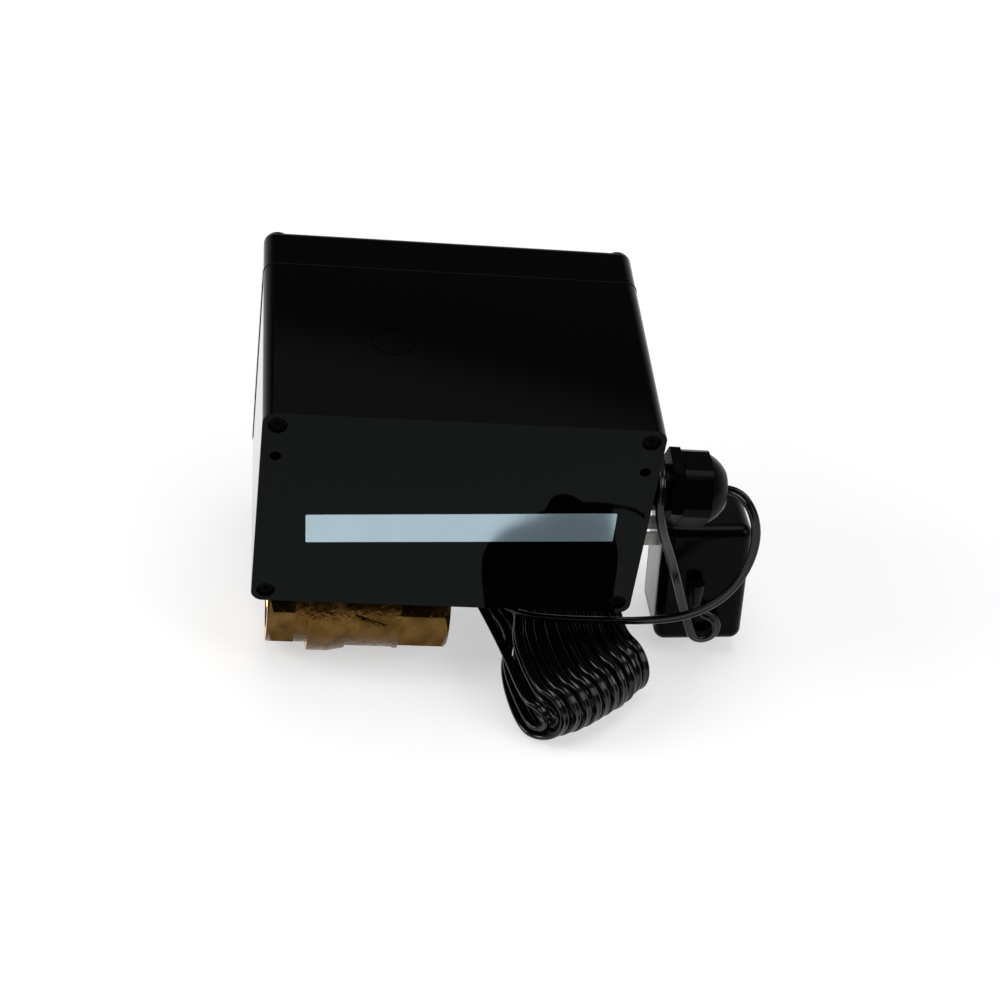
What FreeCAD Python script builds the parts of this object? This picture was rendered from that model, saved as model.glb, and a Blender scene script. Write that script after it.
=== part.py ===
"""Automatic flush valve: a timer housing that turns a one inch brass ball valve through a gear train.

The origin is the centre of the inlet's mouth, on the valve's axis. +X runs along the flow, +Y from the
housing's back to its front cover, and +Z from the valve up to the housing. Lengths are in millimetres.
"""
import FreeCAD
import Part
import math
import os
import re
import Sketcher
from FreeCAD import Vector

SIZES = {
    # ball valve
    "valve_length": 78.5, "octagon_width": 41.5, "octagon_chamfer": 2.6, "inlet_octagon_length": 11.8,
    "inlet_neck_end": 17.6, "inlet_neck_radius": 20.6, "collar_radius": 24, "collar_end": 27,
    "collar_taper_end": 34, "barrel_radius": 21.5, "barrel_end": 55, "end_ridge_radius": 22,
    "outlet_octagon_start": 57, "thread_radius": 15.15, "thread_length": 17, "flow_radius": 10,
    "ball_radius": 16, "ball_clearance": 0.3, "cavity_radius": 17.6, "cavity_end": 53,
    "cap_spigot_radius": 18.9, "cap_spigot_end": 27, "seat_radius": 14.5, "seat_thickness": 5,
    "seat_inset": 9.6, "fit": 0.1,
    # stem and bonnet
    "stem_x": 38, "stem_radius": 5, "running_fit": 0.05, "stem_flange_radius": 7, "stem_flange_height": 2.5,
    "stem_flange_bottom": 17.8, "bonnet_shoulder_radius": 13, "bonnet_radius": 9, "bonnet_top": 40,
    "packing_radius": 7.1, "packing_bottom": 31, "packing_height": 4.5, "packing_nut_width": 17,
    "packing_nut_height": 5, "stem_square": 7, "stem_square_bottom": 46, "stem_top": 56, "tang_thickness": 6,
    "tang_length": 15, "tang_bottom": 12, "bonnet_nut_width": 27, "bonnet_nut_height": 5.5,
    # housing and cover
    "housing_width": 160, "housing_height": 100, "housing_depth": 100, "cover_depth": 25, "wall": 3,
    "housing_left": -8, "housing_back": -31, "housing_bottom": 25.5, "corner_round": 5, "cover_round": 4,
    "column_radius": 5.8, "column_inset": 6, "screw_radius": 2, "screw_clearance": 0.3,
    "screw_head_radius": 3.6, "screw_head_height": 2.4, "counterbore_depth": 3.6, "screw_engagement": 15,
    "wall_hole_radius": 2.25, "wall_hole_inset": 6, "wall_hole_drop": 21.5, "ring_x": 44.4, "ring_y": 18.5,
    "ring_radius": 8.8, "ring_groove": 0.5, "gasket_width": 1.4, "gasket_height": 1, "gasket_inset": 0.8,
    # drive frame
    "plate_thickness": 2, "plate_left": 6, "plate_right": 118, "plate_half_depth": 27, "leg_radius": 3.5,
    "leg_inset": 5, "lower_plate_z": 78, "plate_gap": 20, "m3_radius": 1.5, "m3_head_radius": 2.8,
    "m3_head_height": 1.8, "m3_length": 6, "bush_radius": 7, "bush_flange_radius": 9, "bush_flange": 1.2,
    # drive train
    "shaft_radius": 4, "shaft_top": 109.5, "shaft_bottom": 56.5, "coupler_radius": 10, "coupler_top": 67,
    "coupler_pin_radius": 1.5, "output_module": 1, "output_teeth": 42, "idler_teeth": 14,
    "first_module": 0.8, "wheel_teeth": 45, "motor_teeth": 15, "gear_backlash": 0.2, "centre_extra": 0.1,
    "output_gear_bottom": 84.5, "gear_face": 6, "wheel_bottom": 92.5, "wheel_face": 4, "arbor_radius": 2,
    "gearhead_radius": 18.5, "gearhead_length": 22, "motor_radius": 16.5, "motor_length": 22,
    "motor_shaft_radius": 3, "cam_bottom": 103.6, "cam_height": 4.4, "cam_radius": 12.5, "cam_lift": 2.43,
    # limit switches
    "switch_length": 19.8, "switch_depth": 10.2, "switch_height": 6.4, "switch_left": 21, "lever_x": 24,
    "lever_pin_radius": 0.6, "lever_eye_radius": 1.2, "lever_thickness": 0.6, "roller_radius": 1.6,
    "lever_gap": 0.3, "switch_ear": 0.8,
    # circuit board and front controls
    "board_left": 20, "board_right": 124, "board_bottom": 44, "board_top": 107, "board_setback": 16,
    "board_thickness": 1.6, "standoff_radius": 3, "knob_x_left": 42, "knob_x_right": 102, "knob_z": 84,
    "knob_radius": 10, "knob_height": 13, "knob_gap": 0.6, "pot_width": 12, "pot_depth": 8,
    "pot_bushing_radius": 3.5, "spindle_radius": 2.9, "spindle_length": 20, "button_x": 72, "button_z": 60,
    "button_radius": 4.5, "button_proud": 3, "button_flange_radius": 6.4,
    "button_flange": 1.5, "switch_button_width": 6, "switch_button_height": 3.4, "led_radius": 1.5,
    "led_spacing": 16, "led_z": 98, "spring_radius": 5.3, "spring_wire": 0.5, "spring_turns": 4,
    "relay_width": 19, "relay_depth": 15.5, "relay_height": 15, "terminal_width": 20, "terminal_depth": 9,
    "terminal_height": 10, "terminal_x": 94, "terminal_z": 50,
    # cable gland
    "gland_y": -9, "gland_z": 78, "gland_neck_radius": 10, "gland_washer_radius": 14, "gland_washer": 2,
    "gland_neck": 10, "gland_flange_width": 30, "gland_flange": 4.7, "gland_nut_length": 19.8,
    "gland_nut_width": 30, "gland_dome": 8, "gland_locknut_width": 28,
    "gland_locknut": 5, "gland_bore_radius": 6.5, "cord_hole_radius": 2.6,
    # cord and wall adapter
    "cord_diameter": 4, "floor_drop": 24, "adapter_x": 194, "adapter_y": 14.5, "adapter_z": -19.3,
    "adapter_lean": 8.2, "adapter_roll": 3.9, "adapter_width": 39.4, "adapter_depth": 38,
    "adapter_height": 60.6, "adapter_round": 5, "adapter_wall": 2.2,
    "adapter_seam": 14, "blade_spacing": 12.7, "blade_width": 6.35, "blade_thickness": 1.5,
    "blade_length": 15, "blade_rise": 48, "relief_radius": 3.6, "relief_length": 11, "relief_top": 35,
    "relief_offset": -4, "core_width": 24, "core_depth": 16, "core_height": 34, "core_offset": 4,
    "coil_radius": 10.5, "coil_height": 20,
    # hank
    "hank_pitch": 4.8, "hank_outer_radius": 12.3, "hank_layer": 5.2, "hank_shoulder": 11,
}

doc = FreeCAD.newDocument("flush_valve")
sheet = doc.addObject("Spreadsheet::Sheet", "Sizes")
for row, (size_name, size_value) in enumerate(SIZES.items(), 1):
    sheet.set("A%d" % row, size_name.replace("_", " "))
    sheet.set("B%d" % row, str(size_value))
    sheet.setAlias("B%d" % row, size_name)
doc.recompute()

NODES = []


def value(text):
    """Works out a formula of sheet sizes as a number."""
    names = {name: float(sheet.get(name)) for name in SIZES if name in text}
    result = 0.0
    for sign, term in re.findall(r"([+-]?)\s*([^+-]+)", text):
        product = 1.0
        for operator, factor in re.findall(r"([*/]?)\s*([a-z0-9_.]+)", term):
            number = names[factor] if factor in names else float(factor)
            product = product / number if operator == "/" else product * number
        result += -product if sign == "-" else product
    return result


def formula(text):
    """Points each size in a formula at the sheet."""
    return re.sub(r"[a-z_][a-z0-9_]*", lambda word: "Sizes." + word.group(0)
                  if word.group(0) in SIZES else word.group(0), str(text))


def bind(thing, **properties):
    for name, text in properties.items():
        thing.setExpression(name, formula(text))


def place(thing, x="0", y="0", z="0", along="z"):
    """Puts a solid's own origin at x, y, z, with its Z axis along the named axis."""
    turn = {"z": ((0, 0, 1), 0), "x": ((0, 1, 0), 90), "y": ((1, 0, 0), -90)}[along]
    thing.Placement = FreeCAD.Placement(Vector(0, 0, 0), FreeCAD.Rotation(Vector(*turn[0]), turn[1]))
    for letter, text in zip("xyz", (x, y, z)):
        thing.setExpression("Placement.Base." + letter, formula(text))
    return thing


def cylinder(radius, length, x="0", y="0", z="0", along="z"):
    solid = doc.addObject("Part::Cylinder", "Cylinder")
    bind(solid, Radius=radius, Height=length)
    return place(solid, x, y, z, along)


def cone(first_radius, last_radius, length, x="0", y="0", z="0", along="z"):
    solid = doc.addObject("Part::Cone", "Cone")
    bind(solid, Radius1=first_radius, Radius2=last_radius, Height=length)
    return place(solid, x, y, z, along)


def ball_shape(radius, x="0", y="0", z="0"):
    solid = doc.addObject("Part::Sphere", "Sphere")
    bind(solid, Radius=radius)
    return place(solid, x, y, z)


def box(length, width, height, x="0", y="0", z="0"):
    """A box whose lowest corner is at x, y, z."""
    solid = doc.addObject("Part::Box", "Box")
    bind(solid, Length=length, Width=width, Height=height)
    return place(solid, x, y, z)


def prism(sides, across_flats, length, x="0", y="0", z="0", along="z", flat_turn=0):
    """A regular prism, measured across its flats and turned about its own axis."""
    solid = doc.addObject("Part::Prism", "Prism")
    solid.Polygon = sides
    bind(solid, Circumradius="(%s)/2/cos(%g)" % (across_flats, 180 / sides), Height=length)
    place(solid, x, y, z, along)
    own = FreeCAD.Rotation(Vector(0, 0, 1), flat_turn)
    solid.Placement.Rotation = solid.Placement.Rotation.multiply(own)
    return solid


def join(*solids):
    fused = doc.addObject("Part::MultiFuse", "Fuse")
    fused.Shapes = list(solids)
    return fused


def cut(base, *tools):
    result = doc.addObject("Part::Cut", "Cut")
    result.Base = base
    result.Tool = tools[0] if len(tools) == 1 else join(*tools)
    return result


def common(first, second):
    result = doc.addObject("Part::Common", "Common")
    result.Base = first
    result.Tool = second
    return result


def group(*solids):
    """Separate solids that share one node."""
    compound = doc.addObject("Part::Compound", "Group")
    compound.Links = list(solids)
    return compound


def node(name, thing):
    thing.Label = name
    NODES.append(thing)
    return thing


def new_body(name):
    return doc.addObject("PartDesign::Body", name)


def sketch(body, plane, offset):
    """A sketch on one of the body's origin planes, moved along that plane's normal."""
    origin_plane = [feature for feature in body.Origin.OriginFeatures if feature.Role == plane][0]
    made = body.newObject("Sketcher::SketchObject", "Sketch")
    made.AttachmentSupport = [(origin_plane, "")]
    made.MapMode = "FlatFace"
    made.setExpression("AttachmentOffset.Base.z", formula(offset))
    return made


def dimension(made, kind, geometry, point, text):
    """Holds a point of the sketch at a distance from the sketch's origin."""
    index = made.addConstraint(Sketcher.Constraint(kind, -1, 1, geometry, point, 1.0))
    made.setExpression("Constraints[%d]" % index, formula(text))


def rectangle(made, left, bottom, right, top):
    sides = (value(left), value(bottom), value(right), value(top))
    corners = [Vector(sides[a], sides[b], 0) for a, b in ((0, 1), (2, 1), (2, 3), (0, 3))]
    first = made.GeometryCount
    for side in range(4):
        made.addGeometry(Part.LineSegment(corners[side], corners[(side + 1) % 4]))
    for side in range(4):
        made.addConstraint(Sketcher.Constraint("Coincident", first + side, 2, first + (side + 1) % 4, 1))
        kind = "Horizontal" if side % 2 == 0 else "Vertical"
        made.addConstraint(Sketcher.Constraint(kind, first + side))
    dimension(made, "DistanceX", first, 1, left)
    dimension(made, "DistanceY", first, 1, bottom)
    dimension(made, "DistanceX", first + 1, 2, right)
    dimension(made, "DistanceY", first + 1, 2, top)


def circle(made, x, y, radius):
    index = made.addGeometry(Part.Circle(Vector(value(x), value(y), 0), Vector(0, 0, 1), value(radius)))
    dimension(made, "DistanceX", index, 3, x)
    dimension(made, "DistanceY", index, 3, y)
    radius_index = made.addConstraint(Sketcher.Constraint("Radius", index, value(radius)))
    made.setExpression("Constraints[%d]" % radius_index, formula(radius))


def feature(body, kind, profile, length, away=False):
    """A pad or a pocket of a sketch: its length changes the volume, or the source stops."""
    before = body.Shape.Volume if body.Tip else 0.0
    made = body.newObject("PartDesign::" + kind, kind)
    made.Profile = profile
    made.Reversed = away
    bind(made, Length=length)
    doc.recompute()
    change = made.Shape.Volume - before
    if abs(change) < 0.01 or (change > 0) != (kind == "Pad"):
        raise ValueError("%s of %s changes the volume by %.3f" % (kind, body.Name, change))
    return made


def round_edges(body, radius, wanted):
    """Rounds the edges that the test picks out."""
    base = body.Tip
    names = ["Edge%d" % (i + 1) for i, edge in enumerate(base.Shape.Edges) if wanted(edge)]
    made = body.newObject("PartDesign::Fillet", "Fillet")
    made.Base = (base, names)
    bind(made, Radius=radius)
    doc.recompute()
    return made


def straight_along(edge, axis):
    """True for a straight edge that runs along the given axis (0, 1 or 2)."""
    if not isinstance(edge.Curve, (Part.Line, Part.LineSegment)):
        return False
    way = edge.Vertexes[-1].Point - edge.Vertexes[0].Point
    return abs(abs(way[axis]) - way.Length) < 1e-6


# Valve body: cast barrel with the outlet's octagon, the ball's cavity and the bonnet
OCTAGON_TURN = 22.5
outlet_octagon = prism(8, "octagon_width", "valve_length - outlet_octagon_start", "outlet_octagon_start",
                       along="x", flat_turn=OCTAGON_TURN)
octagon_corner = "octagon_width*0.5412"
outlet_chamfer = join(
    cylinder(octagon_corner + " + 1", "valve_length - outlet_octagon_start - octagon_chamfer",
             "outlet_octagon_start", along="x"),
    cone(octagon_corner, octagon_corner + " - octagon_chamfer", "octagon_chamfer",
         "valve_length - octagon_chamfer", along="x"))
collar = join(cylinder("collar_radius", "collar_end - inlet_neck_end", "inlet_neck_end", along="x"),
              cone("collar_radius", "barrel_radius + 1", "collar_taper_end - collar_end", "collar_end",
                   along="x"))
barrel = join(cylinder("barrel_radius", "barrel_end - collar_end", "collar_end", along="x"),
              cylinder("end_ridge_radius", "outlet_octagon_start - barrel_end", "barrel_end", along="x"))
bonnet = join(cylinder("bonnet_shoulder_radius", "housing_bottom", "stem_x"),
              cylinder("bonnet_radius", "bonnet_top", "stem_x"))
body_inside = [
    cylinder("cap_spigot_radius + fit", "cap_spigot_end - inlet_neck_end + fit", "inlet_neck_end", along="x"),
    cylinder("cavity_radius", "cavity_end - cap_spigot_end - fit", "cap_spigot_end + fit", along="x"),
    cylinder("flow_radius", "valve_length", "inlet_neck_end", along="x"),
    cylinder("thread_radius", "thread_length", "valve_length - thread_length", along="x"),
    cylinder("seat_radius + fit", "seat_inset + seat_thickness + fit", "stem_x", along="x"),
    cylinder("stem_radius + running_fit", "bonnet_top", "stem_x"),
    cylinder("stem_flange_radius + running_fit", "stem_flange_bottom + stem_flange_height + running_fit",
             "stem_x"),
    cylinder("packing_radius + running_fit", "bonnet_top - packing_bottom", "stem_x", z="packing_bottom"),
]
node("valve_body", cut(join(common(outlet_octagon, outlet_chamfer), collar, barrel, bonnet), *body_inside))

# Valve end cap: the inlet's octagon, a round neck, and a spigot that screws into the body's collar
inlet_octagon = prism(8, "octagon_width", "inlet_octagon_length", along="x", flat_turn=OCTAGON_TURN)
inlet_chamfer = join(
    cone(octagon_corner + " - octagon_chamfer", octagon_corner, "octagon_chamfer", along="x"),
    cylinder(octagon_corner + " + 1", "inlet_octagon_length - octagon_chamfer", "octagon_chamfer", along="x"))
node("valve_end_cap", cut(
    join(common(inlet_octagon, inlet_chamfer),
         cylinder("inlet_neck_radius", "inlet_neck_end", along="x"),
         cylinder("cap_spigot_radius", "cap_spigot_end", along="x")),
    cylinder("thread_radius", "thread_length", along="x"),
    cylinder("flow_radius", "cap_spigot_end", along="x"),
    cylinder("seat_radius + fit", "cap_spigot_end", "stem_x - seat_inset - seat_thickness - fit", along="x")))

# Ball: bored along the flow when open, and slotted on top for the stem's tang
ball_slot = box("tang_length*2", "tang_thickness + 2*running_fit", "ball_radius",
                "stem_x - tang_length", "-tang_thickness/2 - running_fit", "tang_bottom - running_fit")
node("ball", cut(ball_shape("ball_radius", "stem_x"), ball_slot,
                 cylinder("flow_radius", "4*ball_radius", "stem_x", "-2*ball_radius", along="y")))

# Ball seats: a ring on each side of the ball, hollowed to its sphere
seats = []
for seat_start in ("stem_x - seat_inset - seat_thickness", "stem_x + seat_inset"):
    seats.append(cut(cylinder("seat_radius", "seat_thickness", seat_start, along="x"),
                     cylinder("flow_radius", "seat_thickness*2", seat_start + " - 1", along="x"),
                     ball_shape("ball_radius + ball_clearance", "stem_x")))
node("ball_seats", group(*seats))

# Stem: tang, blow-out flange, round shank and square end
tang = box("tang_length", "tang_thickness", "stem_flange_bottom - tang_bottom + 1",
           "stem_x - tang_length/2", "-tang_thickness/2", "tang_bottom")
stem_square = box("stem_square", "stem_square", "stem_top - stem_square_bottom",
                  "stem_x - stem_square/2", "-stem_square/2", "stem_square_bottom")
node("valve_stem", join(
    common(tang, cylinder("stem_flange_radius", "stem_top", "stem_x")),
    cylinder("stem_flange_radius", "stem_flange_height", "stem_x", z="stem_flange_bottom"),
    cylinder("stem_radius", "stem_square_bottom - stem_flange_bottom", "stem_x", z="stem_flange_bottom"),
    common(stem_square, cylinder("stem_radius", "stem_top", "stem_x"))))

# Stem packing and the nut that presses it
node("stem_packing", cut(
    cylinder("packing_radius", "packing_height", "stem_x", z="packing_bottom"),
    cylinder("stem_radius + running_fit", "packing_height*2", "stem_x", z="packing_bottom - 1")))
node("packing_nut", cut(
    join(cylinder("packing_radius", "bonnet_top - packing_bottom - packing_height", "stem_x",
                  z="packing_bottom + packing_height"),
         prism(6, "packing_nut_width", "packing_nut_height", "stem_x", z="bonnet_top")),
    cylinder("stem_radius + running_fit", "stem_top", "stem_x")))

# Bonnet locknut: clamps the mounting plate and the housing's floor to the bonnet's shoulder
node("bonnet_locknut", cut(
    prism(6, "bonnet_nut_width", "bonnet_nut_height", "stem_x", z="housing_bottom + wall + plate_thickness"),
    cylinder("bonnet_radius + fit", "bonnet_top", "stem_x")))

# Rear housing: an open box with corner columns for the long screws
LEFT, RIGHT = "housing_left", "housing_left + housing_width"
BOTTOM, TOP = "housing_bottom", "housing_bottom + housing_height"
BACK, SEAM = "housing_back", "housing_back + housing_depth"
COLUMN_XS = (LEFT + " + column_inset", RIGHT + " - column_inset")
COLUMN_ZS = (BOTTOM + " + column_inset", TOP + " - column_inset")


def back_plane(text):
    """An offset for a sketch on the XZ plane, whose normal is -Y."""
    flipped = text.replace(" + ", " # ").replace(" - ", " + ").replace(" # ", " - ")
    return flipped[1:] if flipped.startswith("-") else "-" + flipped


def corner_circles(made, radius):
    for x in COLUMN_XS:
        for z in COLUMN_ZS:
            circle(made, x, z, radius)


housing = new_body("Housing")
outline = sketch(housing, "XZ_Plane", back_plane(SEAM))
rectangle(outline, LEFT, BOTTOM, RIGHT, TOP)
feature(housing, "Pad", outline, "housing_depth")
round_edges(housing, "corner_round", lambda edge: straight_along(edge, 1))
hollow = sketch(housing, "XZ_Plane", back_plane(BACK + " + wall"))
rectangle(hollow, LEFT + " + wall", BOTTOM + " + wall", RIGHT + " - wall", TOP + " - wall")
feature(housing, "Pocket", hollow, "housing_depth - wall")
columns = sketch(housing, "XZ_Plane", back_plane(SEAM))
corner_circles(columns, "column_radius")
feature(housing, "Pad", columns, "housing_depth - wall/2")
screw_holes = sketch(housing, "XZ_Plane", back_plane(BACK))
corner_circles(screw_holes, "screw_radius + screw_clearance")
feature(housing, "Pocket", screw_holes, "housing_depth")
counterbores = sketch(housing, "XZ_Plane", back_plane(BACK))
corner_circles(counterbores, "screw_head_radius + screw_clearance")
feature(housing, "Pocket", counterbores, "counterbore_depth")
wall_holes = sketch(housing, "XZ_Plane", back_plane(BACK))
for hole_x in (LEFT + " + wall_hole_inset", RIGHT + " - wall_hole_inset"):
    circle(wall_holes, hole_x, TOP + " - wall_hole_drop", "wall_hole_radius")
feature(housing, "Pocket", wall_holes, "wall")
bonnet_hole = sketch(housing, "XY_Plane", BOTTOM + " + wall")
circle(bonnet_hole, "stem_x", "0", "bonnet_radius + screw_clearance")
feature(housing, "Pocket", bonnet_hole, "wall")
gland_hole = sketch(housing, "YZ_Plane", RIGHT)
circle(gland_hole, "gland_y", "gland_z", "gland_neck_radius + screw_clearance")
feature(housing, "Pocket", gland_hole, "wall")
knock_out = sketch(housing, "XY_Plane", TOP)
circle(knock_out, "ring_x", "ring_y", "ring_radius")
circle(knock_out, "ring_x", "ring_y", "ring_radius - ring_groove")
feature(housing, "Pocket", knock_out, "ring_groove")


def rounded_frame(inset, depth, y):
    """A flat ring that follows the housing's outline, its outer side at an inset from the outer wall."""
    outer = box("housing_width - 2*(%s)" % inset, depth, "housing_height - 2*(%s)" % inset,
                "housing_left + " + inset, y, "housing_bottom + " + inset)
    return outer


gasket_y = SEAM + " - gasket_height"
gasket_outer = rounded_frame("gasket_inset + 1", "gasket_height", gasket_y)
gasket_inner = rounded_frame("gasket_inset + 1 + gasket_width", "gasket_height*3",
                             gasket_y + " - gasket_height")
gasket = node("cover_gasket", cut(gasket_outer, gasket_inner))
node("rear_housing", cut(housing, gasket))

# Front cover: a shallow tray with blind screw columns and the holes for the controls
cover = new_body("Cover")
FRONT = "housing_back + housing_depth + cover_depth"
INNER_FRONT = FRONT + " - wall"
tray = sketch(cover, "XZ_Plane", back_plane(FRONT))
rectangle(tray, LEFT, BOTTOM, RIGHT, TOP)
feature(cover, "Pad", tray, "cover_depth")
round_edges(cover, "corner_round", lambda edge: straight_along(edge, 1))
front_y = value(FRONT)
round_edges(cover, "cover_round", lambda edge: all(abs(v.Point.y - front_y) < 1e-6 for v in edge.Vertexes))
tray_hollow = sketch(cover, "XZ_Plane", back_plane(SEAM))
rectangle(tray_hollow, LEFT + " + wall", BOTTOM + " + wall", RIGHT + " - wall", TOP + " - wall")
feature(cover, "Pocket", tray_hollow, "cover_depth - wall")
blind_columns = sketch(cover, "XZ_Plane", back_plane(FRONT + " - wall/2"))
corner_circles(blind_columns, "column_radius")
feature(cover, "Pad", blind_columns, "cover_depth - wall/2")
blind_holes = sketch(cover, "XZ_Plane", back_plane(SEAM))
corner_circles(blind_holes, "screw_radius + fit/2")
feature(cover, "Pocket", blind_holes, "screw_engagement + 2")
control_holes = sketch(cover, "XZ_Plane", back_plane(INNER_FRONT))
for knob_x in ("knob_x_left", "knob_x_right"):
    circle(control_holes, knob_x, "knob_z", "pot_bushing_radius + fit")
circle(control_holes, "button_x", "button_z", "button_radius + ball_clearance")
for side in (" - led_spacing/2", " + led_spacing/2"):
    circle(control_holes, "button_x" + side, "led_z", "led_radius + fit")
feature(cover, "Pocket", control_holes, "wall")
node("front_cover", cover)

# Housing screws: driven from the back, through the columns, into the cover
screws = []
for screw_x in COLUMN_XS:
    for screw_z in COLUMN_ZS:
        head_y = BACK + " + counterbore_depth - screw_head_height"
        recess = join(box("screw_head_radius", "screw_head_height", "screw_head_radius/5",
                          screw_x + " - screw_head_radius/2", head_y + " - screw_head_height/2",
                          screw_z + " - screw_head_radius/10"),
                      box("screw_head_radius/5", "screw_head_height", "screw_head_radius",
                          screw_x + " - screw_head_radius/10", head_y + " - screw_head_height/2",
                          screw_z + " - screw_head_radius/2"))
        screws.append(cut(
            join(cylinder("screw_head_radius", "screw_head_height", screw_x, head_y, screw_z, "y"),
                 cylinder("screw_radius", "housing_depth - counterbore_depth + screw_engagement", screw_x,
                          BACK + " + counterbore_depth", screw_z, "y")), recess))
node("housing_screws", group(*screws))

# Drive frame: a mounting plate on the housing's floor and two gear plates above it
FLOOR = "housing_bottom + wall"
LEG_XS = ("plate_left + leg_inset", "plate_right - leg_inset")
LEG_YS = ("-plate_half_depth + leg_inset", "plate_half_depth - leg_inset")
IDLER_X = "stem_x + output_module*output_teeth/2 + output_module*idler_teeth/2 + centre_extra"
MOTOR_X = IDLER_X + " + first_module*wheel_teeth/2 + first_module*motor_teeth/2 + centre_extra"
UPPER_Z = "lower_plate_z + plate_thickness + plate_gap"


def frame_plate(name, z, holes):
    """A steel plate of the drive frame, with screw holes at its corners."""
    body = new_body(name.title().replace("_", ""))
    outline = sketch(body, "XY_Plane", z)
    rectangle(outline, "plate_left", "-plate_half_depth", "plate_right", "plate_half_depth")
    feature(body, "Pad", outline, "plate_thickness")
    drilled = sketch(body, "XY_Plane", z + " + plate_thickness")
    for x in LEG_XS:
        for y in LEG_YS:
            circle(drilled, x, y, "m3_radius + fit")
    for x, radius in holes:
        circle(drilled, x, "0", radius)
    feature(body, "Pocket", drilled, "plate_thickness")
    return node(name, body)


frame_plate("mounting_plate", FLOOR, [("stem_x", "bonnet_radius + fit")])
frame_plate("lower_plate", "lower_plate_z",
            [("stem_x", "bush_radius"), (IDLER_X, "arbor_radius + fit/5"),
             (MOTOR_X, "motor_shaft_radius + 1")])
frame_plate("upper_plate", UPPER_Z, [("stem_x", "bush_radius"), (IDLER_X, "arbor_radius + fit/5")])


def posts(z, length):
    """Four round spacers, tapped at both ends, between two plates."""
    made = []
    for x in LEG_XS:
        for y in LEG_YS:
            made.append(cut(cylinder("leg_radius", length, x, y, z),
                            cylinder("m3_radius", length + " + 2", x, y, z + " - 1")))
    return group(*made)


LEG_START = "housing_bottom + wall + plate_thickness"
node("frame_legs", posts(LEG_START, "lower_plate_z - " + LEG_START.replace(" + ", " - ")))
node("frame_pillars", posts("lower_plate_z + plate_thickness", "plate_gap"))

# Small screws: the upper plate's, driven down into the pillars
small_screws = []
for leg_x in LEG_XS:
    for leg_y in LEG_YS:
        small_screws.append(join(
            cylinder("m3_head_radius", "m3_head_height", leg_x, leg_y, UPPER_Z + " + plate_thickness"),
            cylinder("m3_radius - fit/2", "m3_length", leg_x, leg_y,
                     UPPER_Z + " + plate_thickness - m3_length")))

# Shaft bushes: flanged bronze bearings in the two gear plates
bushes = []
for bush_z in ("lower_plate_z", UPPER_Z):
    flange_z = bush_z + " + plate_thickness"
    bushes.append(cut(
        join(cylinder("bush_radius", "plate_thickness", "stem_x", z=bush_z),
             cylinder("bush_flange_radius", "bush_flange", "stem_x", z=flange_z)
             if bush_z == "lower_plate_z" else
             cylinder("bush_flange_radius", "bush_flange", "stem_x", z=bush_z + " - bush_flange")),
        cylinder("shaft_radius + running_fit", "plate_thickness*4", "stem_x",
                 z=bush_z + " - plate_thickness")))
node("shaft_bushes", group(*bushes))

# Coupler: a square socket on the valve's stem and a bore for the drive shaft, locked by a pin
pin_z = "shaft_bottom + coupler_top/2 - shaft_bottom/2"
pin_hole = cylinder("coupler_pin_radius", "coupler_radius*2 + 2", "stem_x", "-coupler_radius - 1", pin_z, "y")
socket_width = "stem_square + 2*fit"
socket = box(socket_width, socket_width, "stem_top - stem_square_bottom",
             "stem_x - stem_square/2 - fit", "-stem_square/2 - fit", "stem_square_bottom")
shaft_bore = cylinder("shaft_radius + fit/5", "coupler_top", "stem_x", z="stem_top")
node("stem_coupler", cut(
    cylinder("coupler_radius", "coupler_top - stem_square_bottom - ball_clearance*2", "stem_x",
             z="stem_square_bottom + ball_clearance*2"), socket, shaft_bore, pin_hole))
node("coupler_pin", cylinder("coupler_pin_radius - fit/5", "coupler_radius*2", "stem_x", "-coupler_radius",
                             pin_z, "y"))
node("drive_shaft", cut(cylinder("shaft_radius", "shaft_top - shaft_bottom", "stem_x", z="shaft_bottom"),
                        cylinder("coupler_pin_radius", "coupler_radius*2 + 2", "stem_x",
                                 "-coupler_radius - 1", pin_z, "y")))


def gear_outline(module, teeth, first_angle):
    """A spur gear's outline: involute flanks of a 20 degree rack, thinned by the backlash."""
    pressure = math.radians(20)
    pitch = module * teeth / 2
    base = pitch * math.cos(pressure)
    tip = pitch + 0.9 * module
    root = pitch - 1.2 * module
    start = max(base, root)
    half = (math.pi * module / 2 - value("gear_backlash")) / (2 * pitch)
    half += math.tan(pressure) - pressure
    flank = []
    for step in range(5):
        radius = start + (tip - start) * step / 4
        roll = math.acos(min(1.0, base / radius))
        flank.append((radius, half - (math.tan(roll) - roll)))
    points = []
    for tooth in range(teeth):
        middle = math.radians(first_angle) + 2 * math.pi * tooth / teeth
        side = [(root, -flank[0][1])] + [(radius, -angle) for radius, angle in flank]
        side += [(radius, angle) for radius, angle in reversed(flank)] + [(root, flank[0][1])]
        for radius, angle in side:
            points.append(Vector(radius * math.cos(middle + angle), radius * math.sin(middle + angle), 0))
    return points + points[:1]


def gear(module, teeth, first_angle, x, z, face):
    """A toothed wheel, as a solid placed on its own axis."""
    outline = Part.Face(Part.makePolygon(gear_outline(module, teeth, first_angle)))
    made = doc.addObject("Part::Feature", "Gear")
    made.Shape = outline.extrude(Vector(0, 0, value(face)))
    return place(made, x, "0", z)


OUTPUT_TEETH, IDLER_TEETH = int(value("output_teeth")), int(value("idler_teeth"))
WHEEL_TEETH, MOTOR_TEETH = int(value("wheel_teeth")), int(value("motor_teeth"))

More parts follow.
